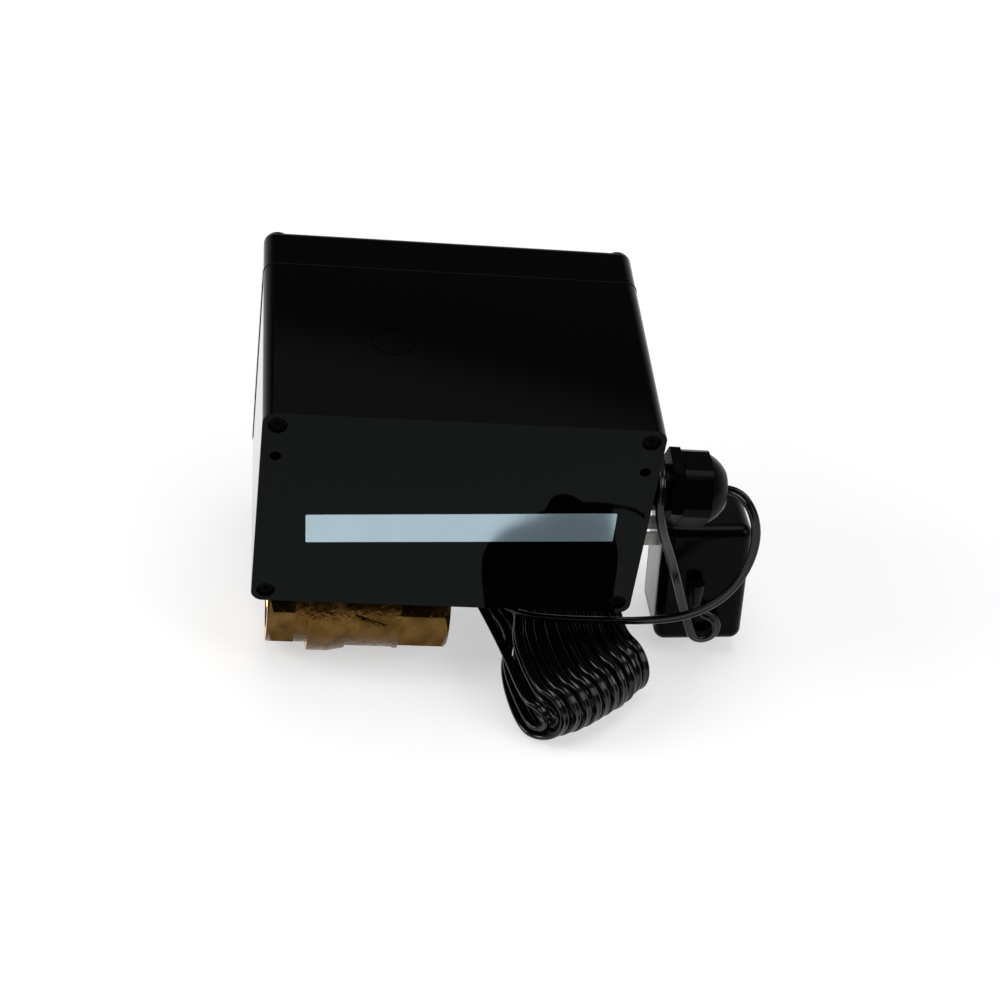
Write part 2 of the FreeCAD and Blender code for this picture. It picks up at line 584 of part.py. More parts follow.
# Output gear: turns the valve; its hub is fixed on the drive shaft
node("output_gear", cut(
    join(gear(value("output_module"), OUTPUT_TEETH, 0, "stem_x", "output_gear_bottom", "gear_face"),
         cylinder("bush_radius", "gear_face*1.5", "stem_x", z="output_gear_bottom - gear_face/2")),
    cylinder("shaft_radius + fit/5", "gear_face*4", "stem_x", z="output_gear_bottom - gear_face")))

# Idler: the small gear drives the output gear and the large one is driven by the motor
idler_bottom = "output_gear_bottom - 1"
node("idler_gear", cut(
    join(gear(value("output_module"), IDLER_TEETH, 180 + 180 / IDLER_TEETH, IDLER_X, idler_bottom,
              "wheel_bottom - output_gear_bottom + 1"),
         gear(value("first_module"), WHEEL_TEETH, 0, IDLER_X, "wheel_bottom", "wheel_face")),
    cylinder("arbor_radius + running_fit", "plate_gap", IDLER_X, z=idler_bottom + " - 1")))
idler_start = "lower_plate_z + plate_thickness"
node("idler_arbor", join(
    cylinder("arbor_radius", UPPER_Z + " + plate_thickness - lower_plate_z", IDLER_X, z="lower_plate_z"),
    cylinder("arbor_radius + 1.5",
             "output_gear_bottom - lower_plate_z - plate_thickness - 1 - ball_clearance",
             IDLER_X, z=idler_start)))

# Gear motor: the can and the gearhead hang under the lower plate, and the pinion stands above it
node("gearhead_case", cut(
    cylinder("gearhead_radius", "gearhead_length", MOTOR_X, z="lower_plate_z - gearhead_length"),
    cylinder("motor_shaft_radius + running_fit", "gearhead_length", MOTOR_X,
             z="lower_plate_z - gearhead_length/2")))
node("motor_can", join(
    cylinder("motor_radius", "motor_length", MOTOR_X, z="lower_plate_z - gearhead_length - motor_length"),
    cylinder("motor_radius/3", "2", MOTOR_X, z="lower_plate_z - gearhead_length - motor_length - 2")))
pinion_bottom = "wheel_bottom - 1"
node("motor_pinion", join(
    gear(value("first_module"), MOTOR_TEETH, 180 + 180 / MOTOR_TEETH, MOTOR_X, pinion_bottom,
         "wheel_face + 2"),
    cylinder("motor_shaft_radius", "wheel_bottom - lower_plate_z + gearhead_length/2 - 1.3", MOTOR_X,
             z="lower_plate_z - gearhead_length/2 + ball_clearance")))

# Limit cam: one rise and one fall, each over a quarter turn, between two round stretches


def cam_point(angle, radius):
    return Vector(radius * math.cos(math.radians(angle)), radius * math.sin(math.radians(angle)), 0)


def spiral(first_angle, first_radius, last_radius):
    """A quarter turn whose radius changes at a steady rate."""
    steps = [step / 6 for step in range(7)]
    curve = Part.BSplineCurve()
    curve.interpolate([cam_point(first_angle + 90 * step, first_radius + (last_radius - first_radius) * step)
                       for step in steps])
    return curve.toShape()


high = value("cam_radius")
low = value("cam_radius - cam_lift")
high_stretch = Part.Arc(cam_point(-90, high), cam_point(-45, high), cam_point(0, high)).toShape()
low_stretch = Part.Arc(cam_point(90, low), cam_point(135, low), cam_point(180, low)).toShape()
cam_edges = [spiral(-180, low, high), high_stretch, spiral(0, high, low), low_stretch]
cam_plate = doc.addObject("Part::Feature", "CamPlate")
cam_plate.Shape = Part.Face(Part.Wire(cam_edges)).extrude(Vector(0, 0, value("cam_height")))
place(cam_plate, "stem_x", "0", "cam_bottom")
node("limit_cam", cut(cam_plate, cylinder("shaft_radius + fit/5", "cam_height*3", "stem_x",
                                          z="cam_bottom - cam_height")))

# Limit switches: one each side of the cam, pressed when the valve is closed or when it is open
SWITCH_Z = UPPER_Z + " + plate_thickness"
PIN_Y = "cam_radius + lever_gap + roller_radius + lever_eye_radius - 0.5"
CASE_Y = PIN_Y + " + lever_eye_radius + lever_gap"
switches = []
for side in (-1, 1):
    sign = "-" if side < 0 else ""
    pin_y = PIN_Y if side > 0 else back_plane(PIN_Y)
    case_start = CASE_Y if side > 0 else back_plane(CASE_Y) + " - switch_depth"
    ear_start = PIN_Y if side > 0 else back_plane(CASE_Y)
    ears = []
    for ear_z in (SWITCH_Z, SWITCH_Z + " + switch_height - switch_ear"):
        ears.append(box("lever_eye_radius*2", "lever_eye_radius + lever_gap", "switch_ear",
                        "lever_x - lever_eye_radius", ear_start, ear_z))
        ears.append(cylinder("lever_eye_radius", "switch_ear", "lever_x", pin_y, ear_z))
    switches.append(join(
        box("switch_length", "switch_depth", "switch_height", "switch_left", case_start, SWITCH_Z),
        cylinder("lever_pin_radius", "switch_height", "lever_x", pin_y, SWITCH_Z), *ears))
node("limit_switches", group(*switches))


def lever(side, pressed):
    """A thin arm from the switch's pin to a roller that lies on the cam."""
    roller_y = high + value("lever_gap + roller_radius") - (0 if pressed else value("cam_lift"))
    eye_y = value(PIN_Y)
    start = Vector(value("lever_x"), side * eye_y, 0)
    finish = Vector(value("stem_x"), side * roller_y, 0)
    along = (finish - start).normalize()
    across = Vector(-along.y, along.x, 0) * value("lever_thickness/2")
    ear = value("switch_ear + fit")
    low_z = value(SWITCH_Z) + ear
    height = value("switch_height") - 2 * ear
    arm = Part.Face(Part.makePolygon([start + across, finish + across, finish - across, start - across,
                                      start + across])).extrude(Vector(0, 0, height))
    eye = Part.makeCylinder(value("lever_eye_radius"), height, start)
    roller = Part.makeCylinder(value("roller_radius"), height, finish)
    hole = Part.makeCylinder(value("lever_pin_radius + running_fit"), height, start)
    made = doc.addObject("Part::Feature", "Lever")
    made.Shape = arm.fuse([eye, roller]).cut(hole)
    made.Placement = FreeCAD.Placement(Vector(0, 0, low_z), FreeCAD.Rotation())
    return made


node("closed_switch_lever", lever(-1, True))
node("open_switch_lever", lever(1, False))

# Circuit board: stands behind the cover on four standoffs
BOARD = "housing_back + housing_depth + cover_depth - board_setback"
BOARD_FRONT = BOARD + " + board_thickness"
BOARD_TO_FRONT = "board_setback - board_thickness"
STANDOFF_XS = ("board_left + leg_inset", "board_right - leg_inset")
STANDOFF_ZS = ("board_bottom + leg_inset", "board_top - leg_inset")
board = new_body("Board")
board_outline = sketch(board, "XZ_Plane", back_plane(BOARD_FRONT))
rectangle(board_outline, "board_left", "board_bottom", "board_right", "board_top")
feature(board, "Pad", board_outline, "board_thickness")
board_holes = sketch(board, "XZ_Plane", back_plane(BOARD))
for hole_x in STANDOFF_XS:
    for hole_z in STANDOFF_ZS:
        circle(board_holes, hole_x, hole_z, "m3_radius + fit")
feature(board, "Pocket", board_holes, "board_thickness")
node("circuit_board", board)
standoffs = []
for post_x in STANDOFF_XS:
    for post_z in STANDOFF_ZS:
        standoffs.append(cut(
            cylinder("standoff_radius", BOARD_TO_FRONT + " - wall", post_x, BOARD_FRONT, post_z, "y"),
            cylinder("m3_radius", "m3_length*1.5", post_x, BOARD_FRONT + " - 1", post_z, "y")))
        small_screws.append(join(
            cylinder("m3_head_radius", "m3_head_height", post_x, BOARD + " - m3_head_height", post_z, "y"),
            cylinder("m3_radius - fit/2", "m3_length", post_x, BOARD + " - fit", post_z, "y")))
node("board_standoffs", group(*standoffs))
node("small_screws", group(*small_screws))

# Parts on the board: relay and terminal block behind it, potentiometers, switch and lamps in front
node("relay", box("relay_width", "relay_depth", "relay_height", "stem_x", BOARD + " - relay_depth",
                  "led_z - relay_height"))
terminal_y = BOARD + " - terminal_depth"
terminal_holes = [cylinder("terminal_height/5", "terminal_depth/2", "terminal_x + terminal_width*%g" % share,
                           terminal_y + " - 1", "terminal_z + terminal_height/2", "y")
                  for share in (0.25, 0.75)]
terminal_case = box("terminal_width", "terminal_depth", "terminal_height", "terminal_x", terminal_y,
                    "terminal_z")
node("terminal_block", cut(terminal_case, *terminal_holes))
SPINDLE_START = BOARD_FRONT + " + pot_depth/2"
pots = []
for knob_x in ("knob_x_left", "knob_x_right"):
    pots.append(cut(
        join(box("pot_width", "pot_depth", "pot_width", knob_x + " - pot_width/2", BOARD_FRONT,
                 "knob_z - pot_width/2"),
             cylinder("pot_bushing_radius", BOARD_TO_FRONT, knob_x, BOARD_FRONT, "knob_z", "y")),
        cylinder("spindle_radius + running_fit", "cover_depth", knob_x, SPINDLE_START + " - ball_clearance",
                 "knob_z", "y")))
node("potentiometers", group(*pots))
node("test_switch", join(
    box("switch_button_width", "switch_button_height", "switch_button_width",
        "button_x - switch_button_width/2", BOARD_FRONT, "button_z - switch_button_width/2"),
    cylinder("switch_button_width/3.5", "switch_button_height + 1.5", "button_x", BOARD_FRONT,
             "button_z", "y")))
lamps = []
for side in (" - led_spacing/2", " + led_spacing/2"):
    lamps.append(join(
        cylinder("led_radius", BOARD_TO_FRONT + " - led_radius/2", "button_x" + side, BOARD_FRONT,
                 "led_z", "y"),
        cylinder("led_radius + 0.6", "2", "button_x" + side, BOARD_FRONT, "led_z", "y"),
        ball_shape("led_radius", "button_x" + side, FRONT + " - led_radius/2", "led_z")))
node("status_leds", group(*lamps))

# Setting knobs: each on its potentiometer's spindle
for name, knob_x in (("interval", "knob_x_left"), ("duration", "knob_x_right")):
    knob_y = FRONT + " + knob_gap"
    spindle = cylinder("spindle_radius", "spindle_length", knob_x, SPINDLE_START, "knob_z", "y")
    node(name + "_spindle", spindle)
    grips = join(*[cylinder("knob_radius/12", "knob_height - 4",
                            "%s + knob_radius*%g" % (knob_x, math.cos(turn)),
                            knob_y + " + 3", "knob_z + knob_radius*%g" % math.sin(turn), "y")
                   for turn in [math.radians(15 + 30 * rib) for rib in range(12)]])
    node(name + "_knob", cut(
        join(cone("knob_radius", "knob_radius*0.92", "knob_height", knob_x, knob_y, "knob_z", "y"),
             cylinder("knob_radius*1.15", "2.5", knob_x, knob_y, "knob_z", "y")),
        grips,
        box("knob_radius/8", "2", "knob_radius*0.8", knob_x + " - knob_radius/16",
            knob_y + " + knob_height - 1", "knob_z + knob_radius*0.15"),
        cylinder("spindle_radius + fit/5",
                 "pot_depth/2 + spindle_length + fit - board_setback + board_thickness - knob_gap + 1",
                 knob_x, knob_y + " - 1", "knob_z", "y")))

# Test button: guided by the cover, returned by a coil spring that stands on the board
button_flange_y = INNER_FRONT + " - button_flange - ball_clearance"
node("test_button", join(
    cylinder("button_radius", "button_proud + wall + button_flange + ball_clearance", "button_x",
             button_flange_y, "button_z", "y"),
    cylinder("button_flange_radius", "button_flange", "button_x", button_flange_y, "button_z", "y"),
    cylinder("button_radius/3", "1.6", "button_x", button_flange_y + " - 1.6", "button_z", "y")))

# Cable gland on the right wall, on an axis along X
GLAND = {"y": "gland_y", "z": "gland_z", "along": "x"}
node("gland_washer", cut(
    cylinder("gland_washer_radius", "gland_washer", RIGHT, **GLAND),
    cylinder("gland_neck_radius + fit", "gland_washer*3", RIGHT + " - gland_washer", **GLAND)))
flange_start = RIGHT + " + gland_neck"
nut_start = flange_start + " + gland_flange"
node("gland_body", cut(
    join(cylinder("gland_neck_radius", "gland_neck + wall + gland_locknut + 3",
                  RIGHT + " - wall - gland_locknut - 3", **GLAND),
         prism(6, "gland_flange_width", "gland_flange", flange_start, flat_turn=30, **GLAND),
         cylinder("gland_neck_radius + 1.5", "gland_nut_length/2 + gland_flange", flange_start, **GLAND)),
    cylinder("gland_bore_radius", "gland_nut_length*4", RIGHT + " - gland_nut_length", **GLAND)))
node("gland_locknut", cut(
    prism(6, "gland_locknut_width", "gland_locknut", RIGHT + " - wall - gland_locknut", flat_turn=30,
          **GLAND),
    cylinder("gland_neck_radius + fit", "gland_locknut*3", RIGHT + " - wall - gland_locknut*2", **GLAND)))
node("gland_seal", cut(
    cylinder("gland_bore_radius - fit", "gland_nut_length/2", nut_start, **GLAND),
    cylinder("cord_diameter/2 + fit", "gland_nut_length*2", nut_start + " - 1", **GLAND)))
nut_end = nut_start + " + gland_nut_length"
nut_inside_end = "gland_nut_length/2 + 1"
node("gland_dome_nut", cut(
    join(common(prism(6, "gland_nut_width", "gland_nut_length - gland_dome", nut_start + " + ball_clearance",
                      flat_turn=30, **GLAND),
                cylinder("gland_nut_width/2 + 1.2", "gland_nut_length", nut_start, **GLAND)),
         common(cylinder("gland_nut_width/2", "gland_dome + 1", nut_end + " - gland_dome - 1", **GLAND),
                ball_shape("gland_nut_width/2 + 1.4", nut_end + " - gland_nut_width/2 + 1", "gland_y",
                           "gland_z"))),
    cylinder("gland_neck_radius + 1.5 + ball_clearance", nut_inside_end, nut_start, **GLAND),
    cylinder("gland_bore_radius + ball_clearance", "gland_nut_length/2 + 3", nut_start, **GLAND),
    cylinder("cord_hole_radius", "gland_nut_length*2", nut_start, **GLAND)))


# Round wire and cord: one tube along a path of lines and tangent arcs


def arc_edge(start, corner, finish):
    """A circular arc that leaves start towards corner and arrives at finish from it."""
    middle = (start + finish) * 0.5
    height = (corner - middle).Length
    chord = (start - middle).Length
    if height < 1e-6 * max(chord, 1.0):
        return Part.LineSegment(start, finish).toShape()
    sag = chord * math.tan(math.atan2(height, chord) / 2)
    return Part.Arc(start, middle + (corner - middle) * (sag / height), finish).toShape()


def biarc(start, start_way, finish, finish_way):
    """Two tangent arcs between two points with given directions."""
    gap = finish - start
    both = start_way + finish_way
    square = both.dot(both) - 4
    linear = gap.dot(both)
    if abs(square) < 1e-9:
        reach = gap.dot(gap) / (2 * linear)
    else:
        reach = (linear - math.sqrt(linear * linear - square * gap.dot(gap))) / square
        if reach < 0:
            reach = (linear + math.sqrt(linear * linear - square * gap.dot(gap))) / square
    first = start + start_way * reach
    last = finish - finish_way * reach
    meeting = (first + last) * 0.5
    return [arc_edge(start, first, meeting), arc_edge(meeting, last, finish)]


def rounded_route(points):
    """Straight runs joined by arcs of 0.45 of the shorter run, and the arcs' radii."""
    edges = []
    radii = []
    here = points[0]
    for before, corner, after in zip(points, points[1:], points[2:]):
        inward = (corner - before).normalize()
        outward = (after - corner).normalize()
        turn = inward.getAngle(outward)
        reach = 0.45 * min((corner - before).Length, (after - corner).Length)
        radii.append(reach / math.tan(turn / 2))
        start = corner - inward * reach
        finish = corner + outward * reach
        edges.append(Part.LineSegment(here, start).toShape())
        edges.append(arc_edge(start, corner, finish))
        here = finish
    edges.append(Part.LineSegment(here, points[-1]).toShape())
    return edges, radii


def tube(label, edges, way, diameter):
    """A round tube along a path, checked against its section times its length."""
    path = Part.Wire(edges)
    section = Part.Wire(Part.makeCircle(diameter / 2, edges[0].Vertexes[0].Point, way))
    made = doc.addObject("Part::Feature", "Tube")
    made.Shape = Part.Solid(path.makePipeShell([section], True, False))
    if made.Shape.Volume < 0:
        made.Shape = made.Shape.reversed()
    expected = math.pi * diameter ** 2 / 4 * path.Length
    print("%s: %.1f mm long, volume %.4f of its section times its length"
          % (label, path.Length, made.Shape.Volume / expected))
    return made


def cord_tube(label, points):
    route = [Vector(*point) for point in points]
    edges, radii = rounded_route(route)
    print(label, "radii", " ".join("%.1f" % radius for radius in radii))
    return node(label, tube(label, edges, route[1] - route[0], value("cord_diameter")))


# Button spring: turns round the test switch, between the board and the button's flange
spring_start = value(BOARD_FRONT) + value("spring_wire/2")
spring_end = value(button_flange_y) - value("spring_wire/2")
half_turns = int(2 * value("spring_turns"))
spring_knots = []
for half in range(half_turns + 1):
    side = 1 if half % 2 == 0 else -1
    level = spring_start + (spring_end - spring_start) * half / half_turns
    spring_knots.append((Vector(value("button_x") + side * value("spring_radius"), level, value("button_z")),
                         Vector(0, 0, side)))
spring_edges = []
for (first_point, first_way), (next_point, next_way) in zip(spring_knots, spring_knots[1:]):
    spring_edges += biarc(first_point, first_way, next_point, next_way)
node("button_spring", tube("button_spring", spring_edges, Vector(0, 0, 1), value("spring_wire")))

# Wall adapter: a front and a rear shell with two blades, a transformer and a moulded strain relief
roll_back = FreeCAD.Rotation(Vector(0, 1, 0), -value("adapter_roll"))
lean_back = FreeCAD.Rotation(Vector(1, 0, 0), -value("adapter_lean"))
ADAPTER = FreeCAD.Placement(Vector(value("adapter_x"), value("adapter_y"), value("adapter_z")),
                            roll_back.multiply(lean_back))


def adapter_node(name, thing):
    """Turns and moves a piece from the adapter's own frame, whose origin is its base's centre."""
    made = doc.addObject("Part::Compound", "Placed")
    made.Links = [thing]
    made.Placement = ADAPTER
    return node(name, made)


def adapter_shell(start, length):
    """A box with rounded edges, cut to a stretch along X and hollowed from its open side."""
    block = box("adapter_width", "adapter_depth", "adapter_height", "-adapter_width/2", "-adapter_depth/2")
    rounded = doc.addObject("Part::Fillet", "Rounded")
    rounded.Base = block
    doc.recompute()
    rounded.Edges = [(number + 1, value("adapter_round"), value("adapter_round"))
                     for number in range(len(block.Shape.Edges))]
    doc.recompute()
    block.Visibility = False
    hollow = box("adapter_width - 2*adapter_wall", "adapter_depth - 2*adapter_wall",
                 "adapter_height - 2*adapter_wall", "-adapter_width/2 + adapter_wall",
                 "-adapter_depth/2 + adapter_wall", "adapter_wall")
    stretch = box(length, "adapter_depth*2", "adapter_height*2", start, "-adapter_depth", "-adapter_height/2")
    return common(cut(rounded, hollow), stretch)


seam_x = "adapter_seam - adapter_width/2"
blade_slots = []
blades = []
for side in (" - blade_spacing/2", " + blade_spacing/2"):
    slot = {"x": "-adapter_width/2 - blade_length", "y": "-blade_thickness/2" + side,
            "z": "blade_rise - blade_width/2"}
    blade_slots.append(box("blade_length + adapter_wall*3", "blade_thickness", "blade_width", **slot))
    blades.append(box("blade_length + adapter_wall*3", "blade_thickness", "blade_width", **slot))
relief_y = "-adapter_depth/2 - relief_radius"
relief_z = "relief_top - relief_radius"
relief_hole = cylinder("relief_radius*0.8 + running_fit", "adapter_wall*3 + relief_radius", "relief_offset",
                       relief_y, relief_z, "y")
adapter_node("adapter_prong_shell", cut(adapter_shell("-adapter_width", "adapter_width/2 + adapter_seam"),
                                        relief_hole, *blade_slots))
adapter_node("adapter_blades", group(*blades))
adapter_node("adapter_main_shell", cut(adapter_shell(seam_x, "adapter_width"), relief_hole))
relief_form = join(
    cone("relief_radius*0.72", "relief_radius", "relief_length - relief_radius", "relief_offset", relief_y,
         "relief_top - relief_length"),
    cylinder("relief_radius", "relief_radius", "relief_offset", relief_y, relief_z),
    cylinder("relief_radius*0.8", "relief_radius + adapter_wall", "relief_offset", relief_y, relief_z, "y"))
relief_form.Placement = ADAPTER
core_x = "core_offset - core_width/2"
adapter_node("transformer_core", cut(
    box("core_width", "core_depth", "core_height", core_x, "-core_depth/2", "adapter_wall"),
    box("core_width/4", "core_depth*2", "core_height*0.7", core_x + " + core_width/8", "-core_depth",
        "adapter_wall + core_height*0.15"),
    box("core_width/4", "core_depth*2", "core_height*0.7", core_x + " + core_width*0.625", "-core_depth",
        "adapter_wall + core_height*0.15")))
coil_z = "adapter_wall + core_height/2 - coil_height/2"
adapter_node("transformer_coil", cut(
    common(cylinder("coil_radius", "coil_height", "core_offset", z=coil_z),
           box("core_width*0.75 - 0.6", "coil_radius*2", "coil_height",
               "core_offset - core_width*0.375 + 0.3", "-coil_radius", coil_z)),
    box("core_width/4 + 0.4", "core_depth + 0.4", "coil_height + 2", "core_offset - core_width/8 - 0.2",
        "-core_depth/2 - 0.2", coil_z + " - 1")))

# Hank: two nested layers of long loops round a flat form, drawn in at the waist, its ends on the left
LOOPS = 10
hank_radius = value("hank_outer_radius")
hank_middle = value("cord_diameter/2 - floor_drop") + hank_radius


def hank_knot(end, strand, layer, top):
    """A point and the way to the front on a strand, counted across from the middle one."""
    radius = hank_radius - layer * value("hank_layer")
    height = Vector(0, 0, hank_middle + (radius if top else -radius))
    across = strand * value("hank_pitch")
    share = 2 * strand / LOOPS
    if end == "back":
        point = Vector(125.5 + 1.27 * across, 19 - 0.083 * across, 0)
        return point + height, Vector(0.05 - 0.30 * share, -1, 0)
    if end == "waist":
        point = Vector(129.2 + across, -6.5 + 0.2 * across, 0)
        return point + height, Vector(0.16 * share - 0.10, -1, 0)
    fan = math.radians(-44 - 10 * share)
    forward = Vector(math.cos(fan), math.sin(fan), 0)
    bulge = 1 - share * share
    tip = Vector(142.8 + 0.9 * across + 2.6 * bulge, -49.2 + 0.675 * across - 3 * bulge, 0)
    return tip - forward * value("hank_shoulder") + height, forward


hank_start = Vector(101.6, -1, hank_middle + hank_radius)
hank_way = Vector(-0.2, 0.98, 0).normalize()
knot = (hank_start + hank_way * value("cord_diameter"), hank_way)
hank_path = [Part.LineSegment(hank_start, knot[0]).toShape()]
left = -LOOPS / 2
stops = []
for loop in range(LOOPS):
    strand = left + loop
    stops += [("back", strand, 0, True), ("back", strand + 0.5, 0, False)]
    stops += [("waist", strand + 0.5, 0, False), ("front", strand + 0.5, 0, False)]
    stops += [("front", strand + 1, 0, True), ("waist", strand + 1, 0, True)]
stops += [("back", -left, 0, True), ("back", -left + 0.5, 0, False)]
for loop in range(LOOPS + 1):
    strand = -left - loop
    stops += [("waist", strand + 0.5, 1, False), ("front", strand + 0.5, 1, False)]
    stops += [("front", strand, 1, True), ("waist", strand, 1, True)]
    if loop < LOOPS:
        stops += [("back", strand, 1, True), ("back", strand - 0.5, 1, False)]
stops.append(("back", left - 1.2, 1, True))
for end, strand, layer, top in stops:
    point, forward = hank_knot(end, strand, layer, top)
    way = (forward * -1 if top else forward).normalize()
    hank_path += biarc(knot[0], knot[1], point, way)
    knot = (point, way)
hank_end = knot[0] + knot[1] * value("cord_diameter")
hank_path.append(Part.LineSegment(knot[0], hank_end).toShape())


def least_gap(edges, diameter, apart):
    """The least gap of a tube to itself, from points along its path that are further apart than a bend."""
    points = []
    travelled = 0.0
    for edge in edges:
        count = max(2, int(edge.Length / 1.5))
        for index, point in enumerate(edge.discretize(count)[:-1]):
            points.append((travelled + edge.Length * index / (count - 1), point))
        travelled += edge.Length
    cells = {}
    size = diameter * 2
    for distance, point in points:
        cells.setdefault(tuple(int(math.floor(c / size)) for c in point), []).append((distance, point))
    least = 1e9
    for (i, j, k), members in cells.items():
        near = [other for a in (-1, 0, 1) for b in (-1, 0, 1) for c in (-1, 0, 1)
                for other in cells.get((i + a, j + b, k + c), [])]
        for distance, point in members:
            for other_distance, other in near:
                if abs(distance - other_distance) > apart:
                    least = min(least, (point - other).Length)
    return least - diameter


print("cord_hank: least gap to itself %.2f mm, ends at %s heading %s"
      % (least_gap(hank_path, value("cord_diameter"), 20), hank_end, knot[1]))
node("cord_hank", tube("cord_hank", hank_path, hank_way, value("cord_diameter")))

# Leads: from the gland's tip to the hank, from the hank over the gland's neck to the adapter, and inside
gland_tip = Vector(value(nut_end), value("gland_y"), value("gland_z"))
wall_side = value(RIGHT)
cord_tube("cord_lead", [
    gland_tip, gland_tip + Vector(6.5, 0, 0), gland_tip + Vector(14, -4, -7.5),
    gland_tip + Vector(17.7, -7.5, -20),
    (202, -20.5, 43), (194.5, -23, 28.5), (181, -21.5, 15.5), (163, -18.5, 9), (143, -17.5, 7.6),
    (125, -17.3, 7.4), (112.5, -16, 7.4), (104.8, -11, 6.8), hank_start - hank_way * 2, hank_start])
relief_tip = ADAPTER.multVec(Vector(value("relief_offset"), value(relief_y),
                                    value("relief_top - relief_length")))
cord_inside_relief = relief_tip + Vector(-0.9, 0.4, 1.6)
lead = cord_tube("cord_adapter_lead", [
    hank_end, hank_end + knot[1] * 8, (84, 44.5, -6), (92.5, 55.5, -12.5), (105.5, 61.5, -18),
    (121, 61.5, -21),
    (137, 57.5, -21.6), (149, 48.5, -18), (wall_side + 2.4, 37, -7), (wall_side + 3, 28, 9),
    (wall_side + 3, 20.5, 31), (wall_side + 3.2, 12.5, 53), (wall_side + 5.4, 5.6, 78),
    (wall_side + 5.6, -1.8, 90.8), (wall_side + 5.6, -16.2, 90.8), (wall_side + 5.4, -24, 77.2),
    (wall_side + 9.2, -22.8, 64.3), (wall_side + 15.2, -17.6, 50), (175, -12.4, 29), (181.6, -9.8, 10),
    (187.4, -8.8, -3), (191.6, -8.4, -10.6), (197.2, -7.9, -11.6), (200.2, -7.3, -5.6), (196.8, -6.6, 1.4),
    relief_tip + Vector(2.4, -0.5, -4.2), cord_inside_relief])
node("adapter_relief", cut(relief_form, lead))
terminal = Vector(value("terminal_x + terminal_width/2"), value(terminal_y),
                  value("terminal_z + terminal_height/2"))
gland_to_terminal = terminal - gland_tip
cord_tube("inner_lead", [
    gland_tip, gland_tip + Vector(0.613 * gland_to_terminal.x, 0, 0)] + [
    gland_tip + Vector(gland_to_terminal.x * along, gland_to_terminal.y * forward, gland_to_terminal.z * down)
    for along, forward, down in ((0.705, 0.15, 0.06), (0.75, 0.39, 0.24), (0.8, 0.62, 0.52),
                                 (0.93, 0.78, 0.86))
] + [terminal - Vector(0, 6, 0), terminal - Vector(0, value("fit"), 0)])

doc.recompute()
os.makedirs("parts", exist_ok=True)
for thing in doc.Objects:
    if "Invalid" in thing.State or "Error" in thing.State:
        raise ValueError("%s (%s) failed: %s" % (thing.Name, thing.Label, thing.State))
broken = [thing.Label for thing in NODES if thing.Shape.isNull() or not thing.Shape.isValid()]
if broken:
    raise ValueError("not a valid shape: " + ", ".join(broken))
for thing in NODES:
    thing.Shape.exportStep("parts/%s.step" % thing.Label)
print(len(NODES), "nodes")
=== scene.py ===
"""The automatic flush valve as it lies in the studio: its solids with their finishes, and the cord, labels,
threads, front markings and small parts of the circuit board that are made here. Everything is made in metres
in the solids' own frame. Most sizes are written in millimetres.
"""

import math

import bmesh
import bpy
import numpy as np
from mathutils import Matrix, Vector


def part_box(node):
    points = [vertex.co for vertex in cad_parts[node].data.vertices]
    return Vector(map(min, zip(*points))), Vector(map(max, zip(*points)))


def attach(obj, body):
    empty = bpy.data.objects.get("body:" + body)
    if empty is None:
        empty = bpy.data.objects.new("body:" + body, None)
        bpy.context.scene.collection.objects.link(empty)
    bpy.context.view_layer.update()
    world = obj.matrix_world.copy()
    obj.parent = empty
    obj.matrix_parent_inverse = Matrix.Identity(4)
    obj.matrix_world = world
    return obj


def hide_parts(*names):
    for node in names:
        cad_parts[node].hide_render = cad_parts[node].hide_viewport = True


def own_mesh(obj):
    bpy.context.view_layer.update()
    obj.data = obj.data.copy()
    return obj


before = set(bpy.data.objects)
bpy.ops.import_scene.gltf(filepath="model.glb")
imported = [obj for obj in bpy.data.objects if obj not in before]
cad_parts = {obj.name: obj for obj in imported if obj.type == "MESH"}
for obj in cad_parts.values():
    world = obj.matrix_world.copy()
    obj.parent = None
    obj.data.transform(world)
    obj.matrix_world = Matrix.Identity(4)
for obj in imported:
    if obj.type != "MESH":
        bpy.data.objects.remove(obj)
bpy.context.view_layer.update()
MM = 0.001

# Camera: looks down on the housing's back from a little left of its middle, and is rolled a few degrees, as
# in the photograph.
camera_right = Vector((0.9894, -0.0764, 0.1233))
camera_forward = Vector((0.1387, 0.7470, -0.6502))
camera_up = Vector((-0.0424, 0.6604, 0.7497))
camera_eye = Vector((-32.13, -684.68, 655.06)) * MM
camera_turn = Matrix((camera_right, camera_up, -camera_forward)).transposed().to_4x4()
camera = bpy.data.objects.new("camera", bpy.data.cameras.new("camera"))
bpy.context.collection.objects.link(camera)
camera.matrix_world = Matrix.Translation(camera_eye) @ camera_turn
camera.data.lens = 78.11
camera.data.sensor_width = 36
bpy.context.scene.camera = camera
bpy.context.scene.view_settings.view_transform = "Standard"

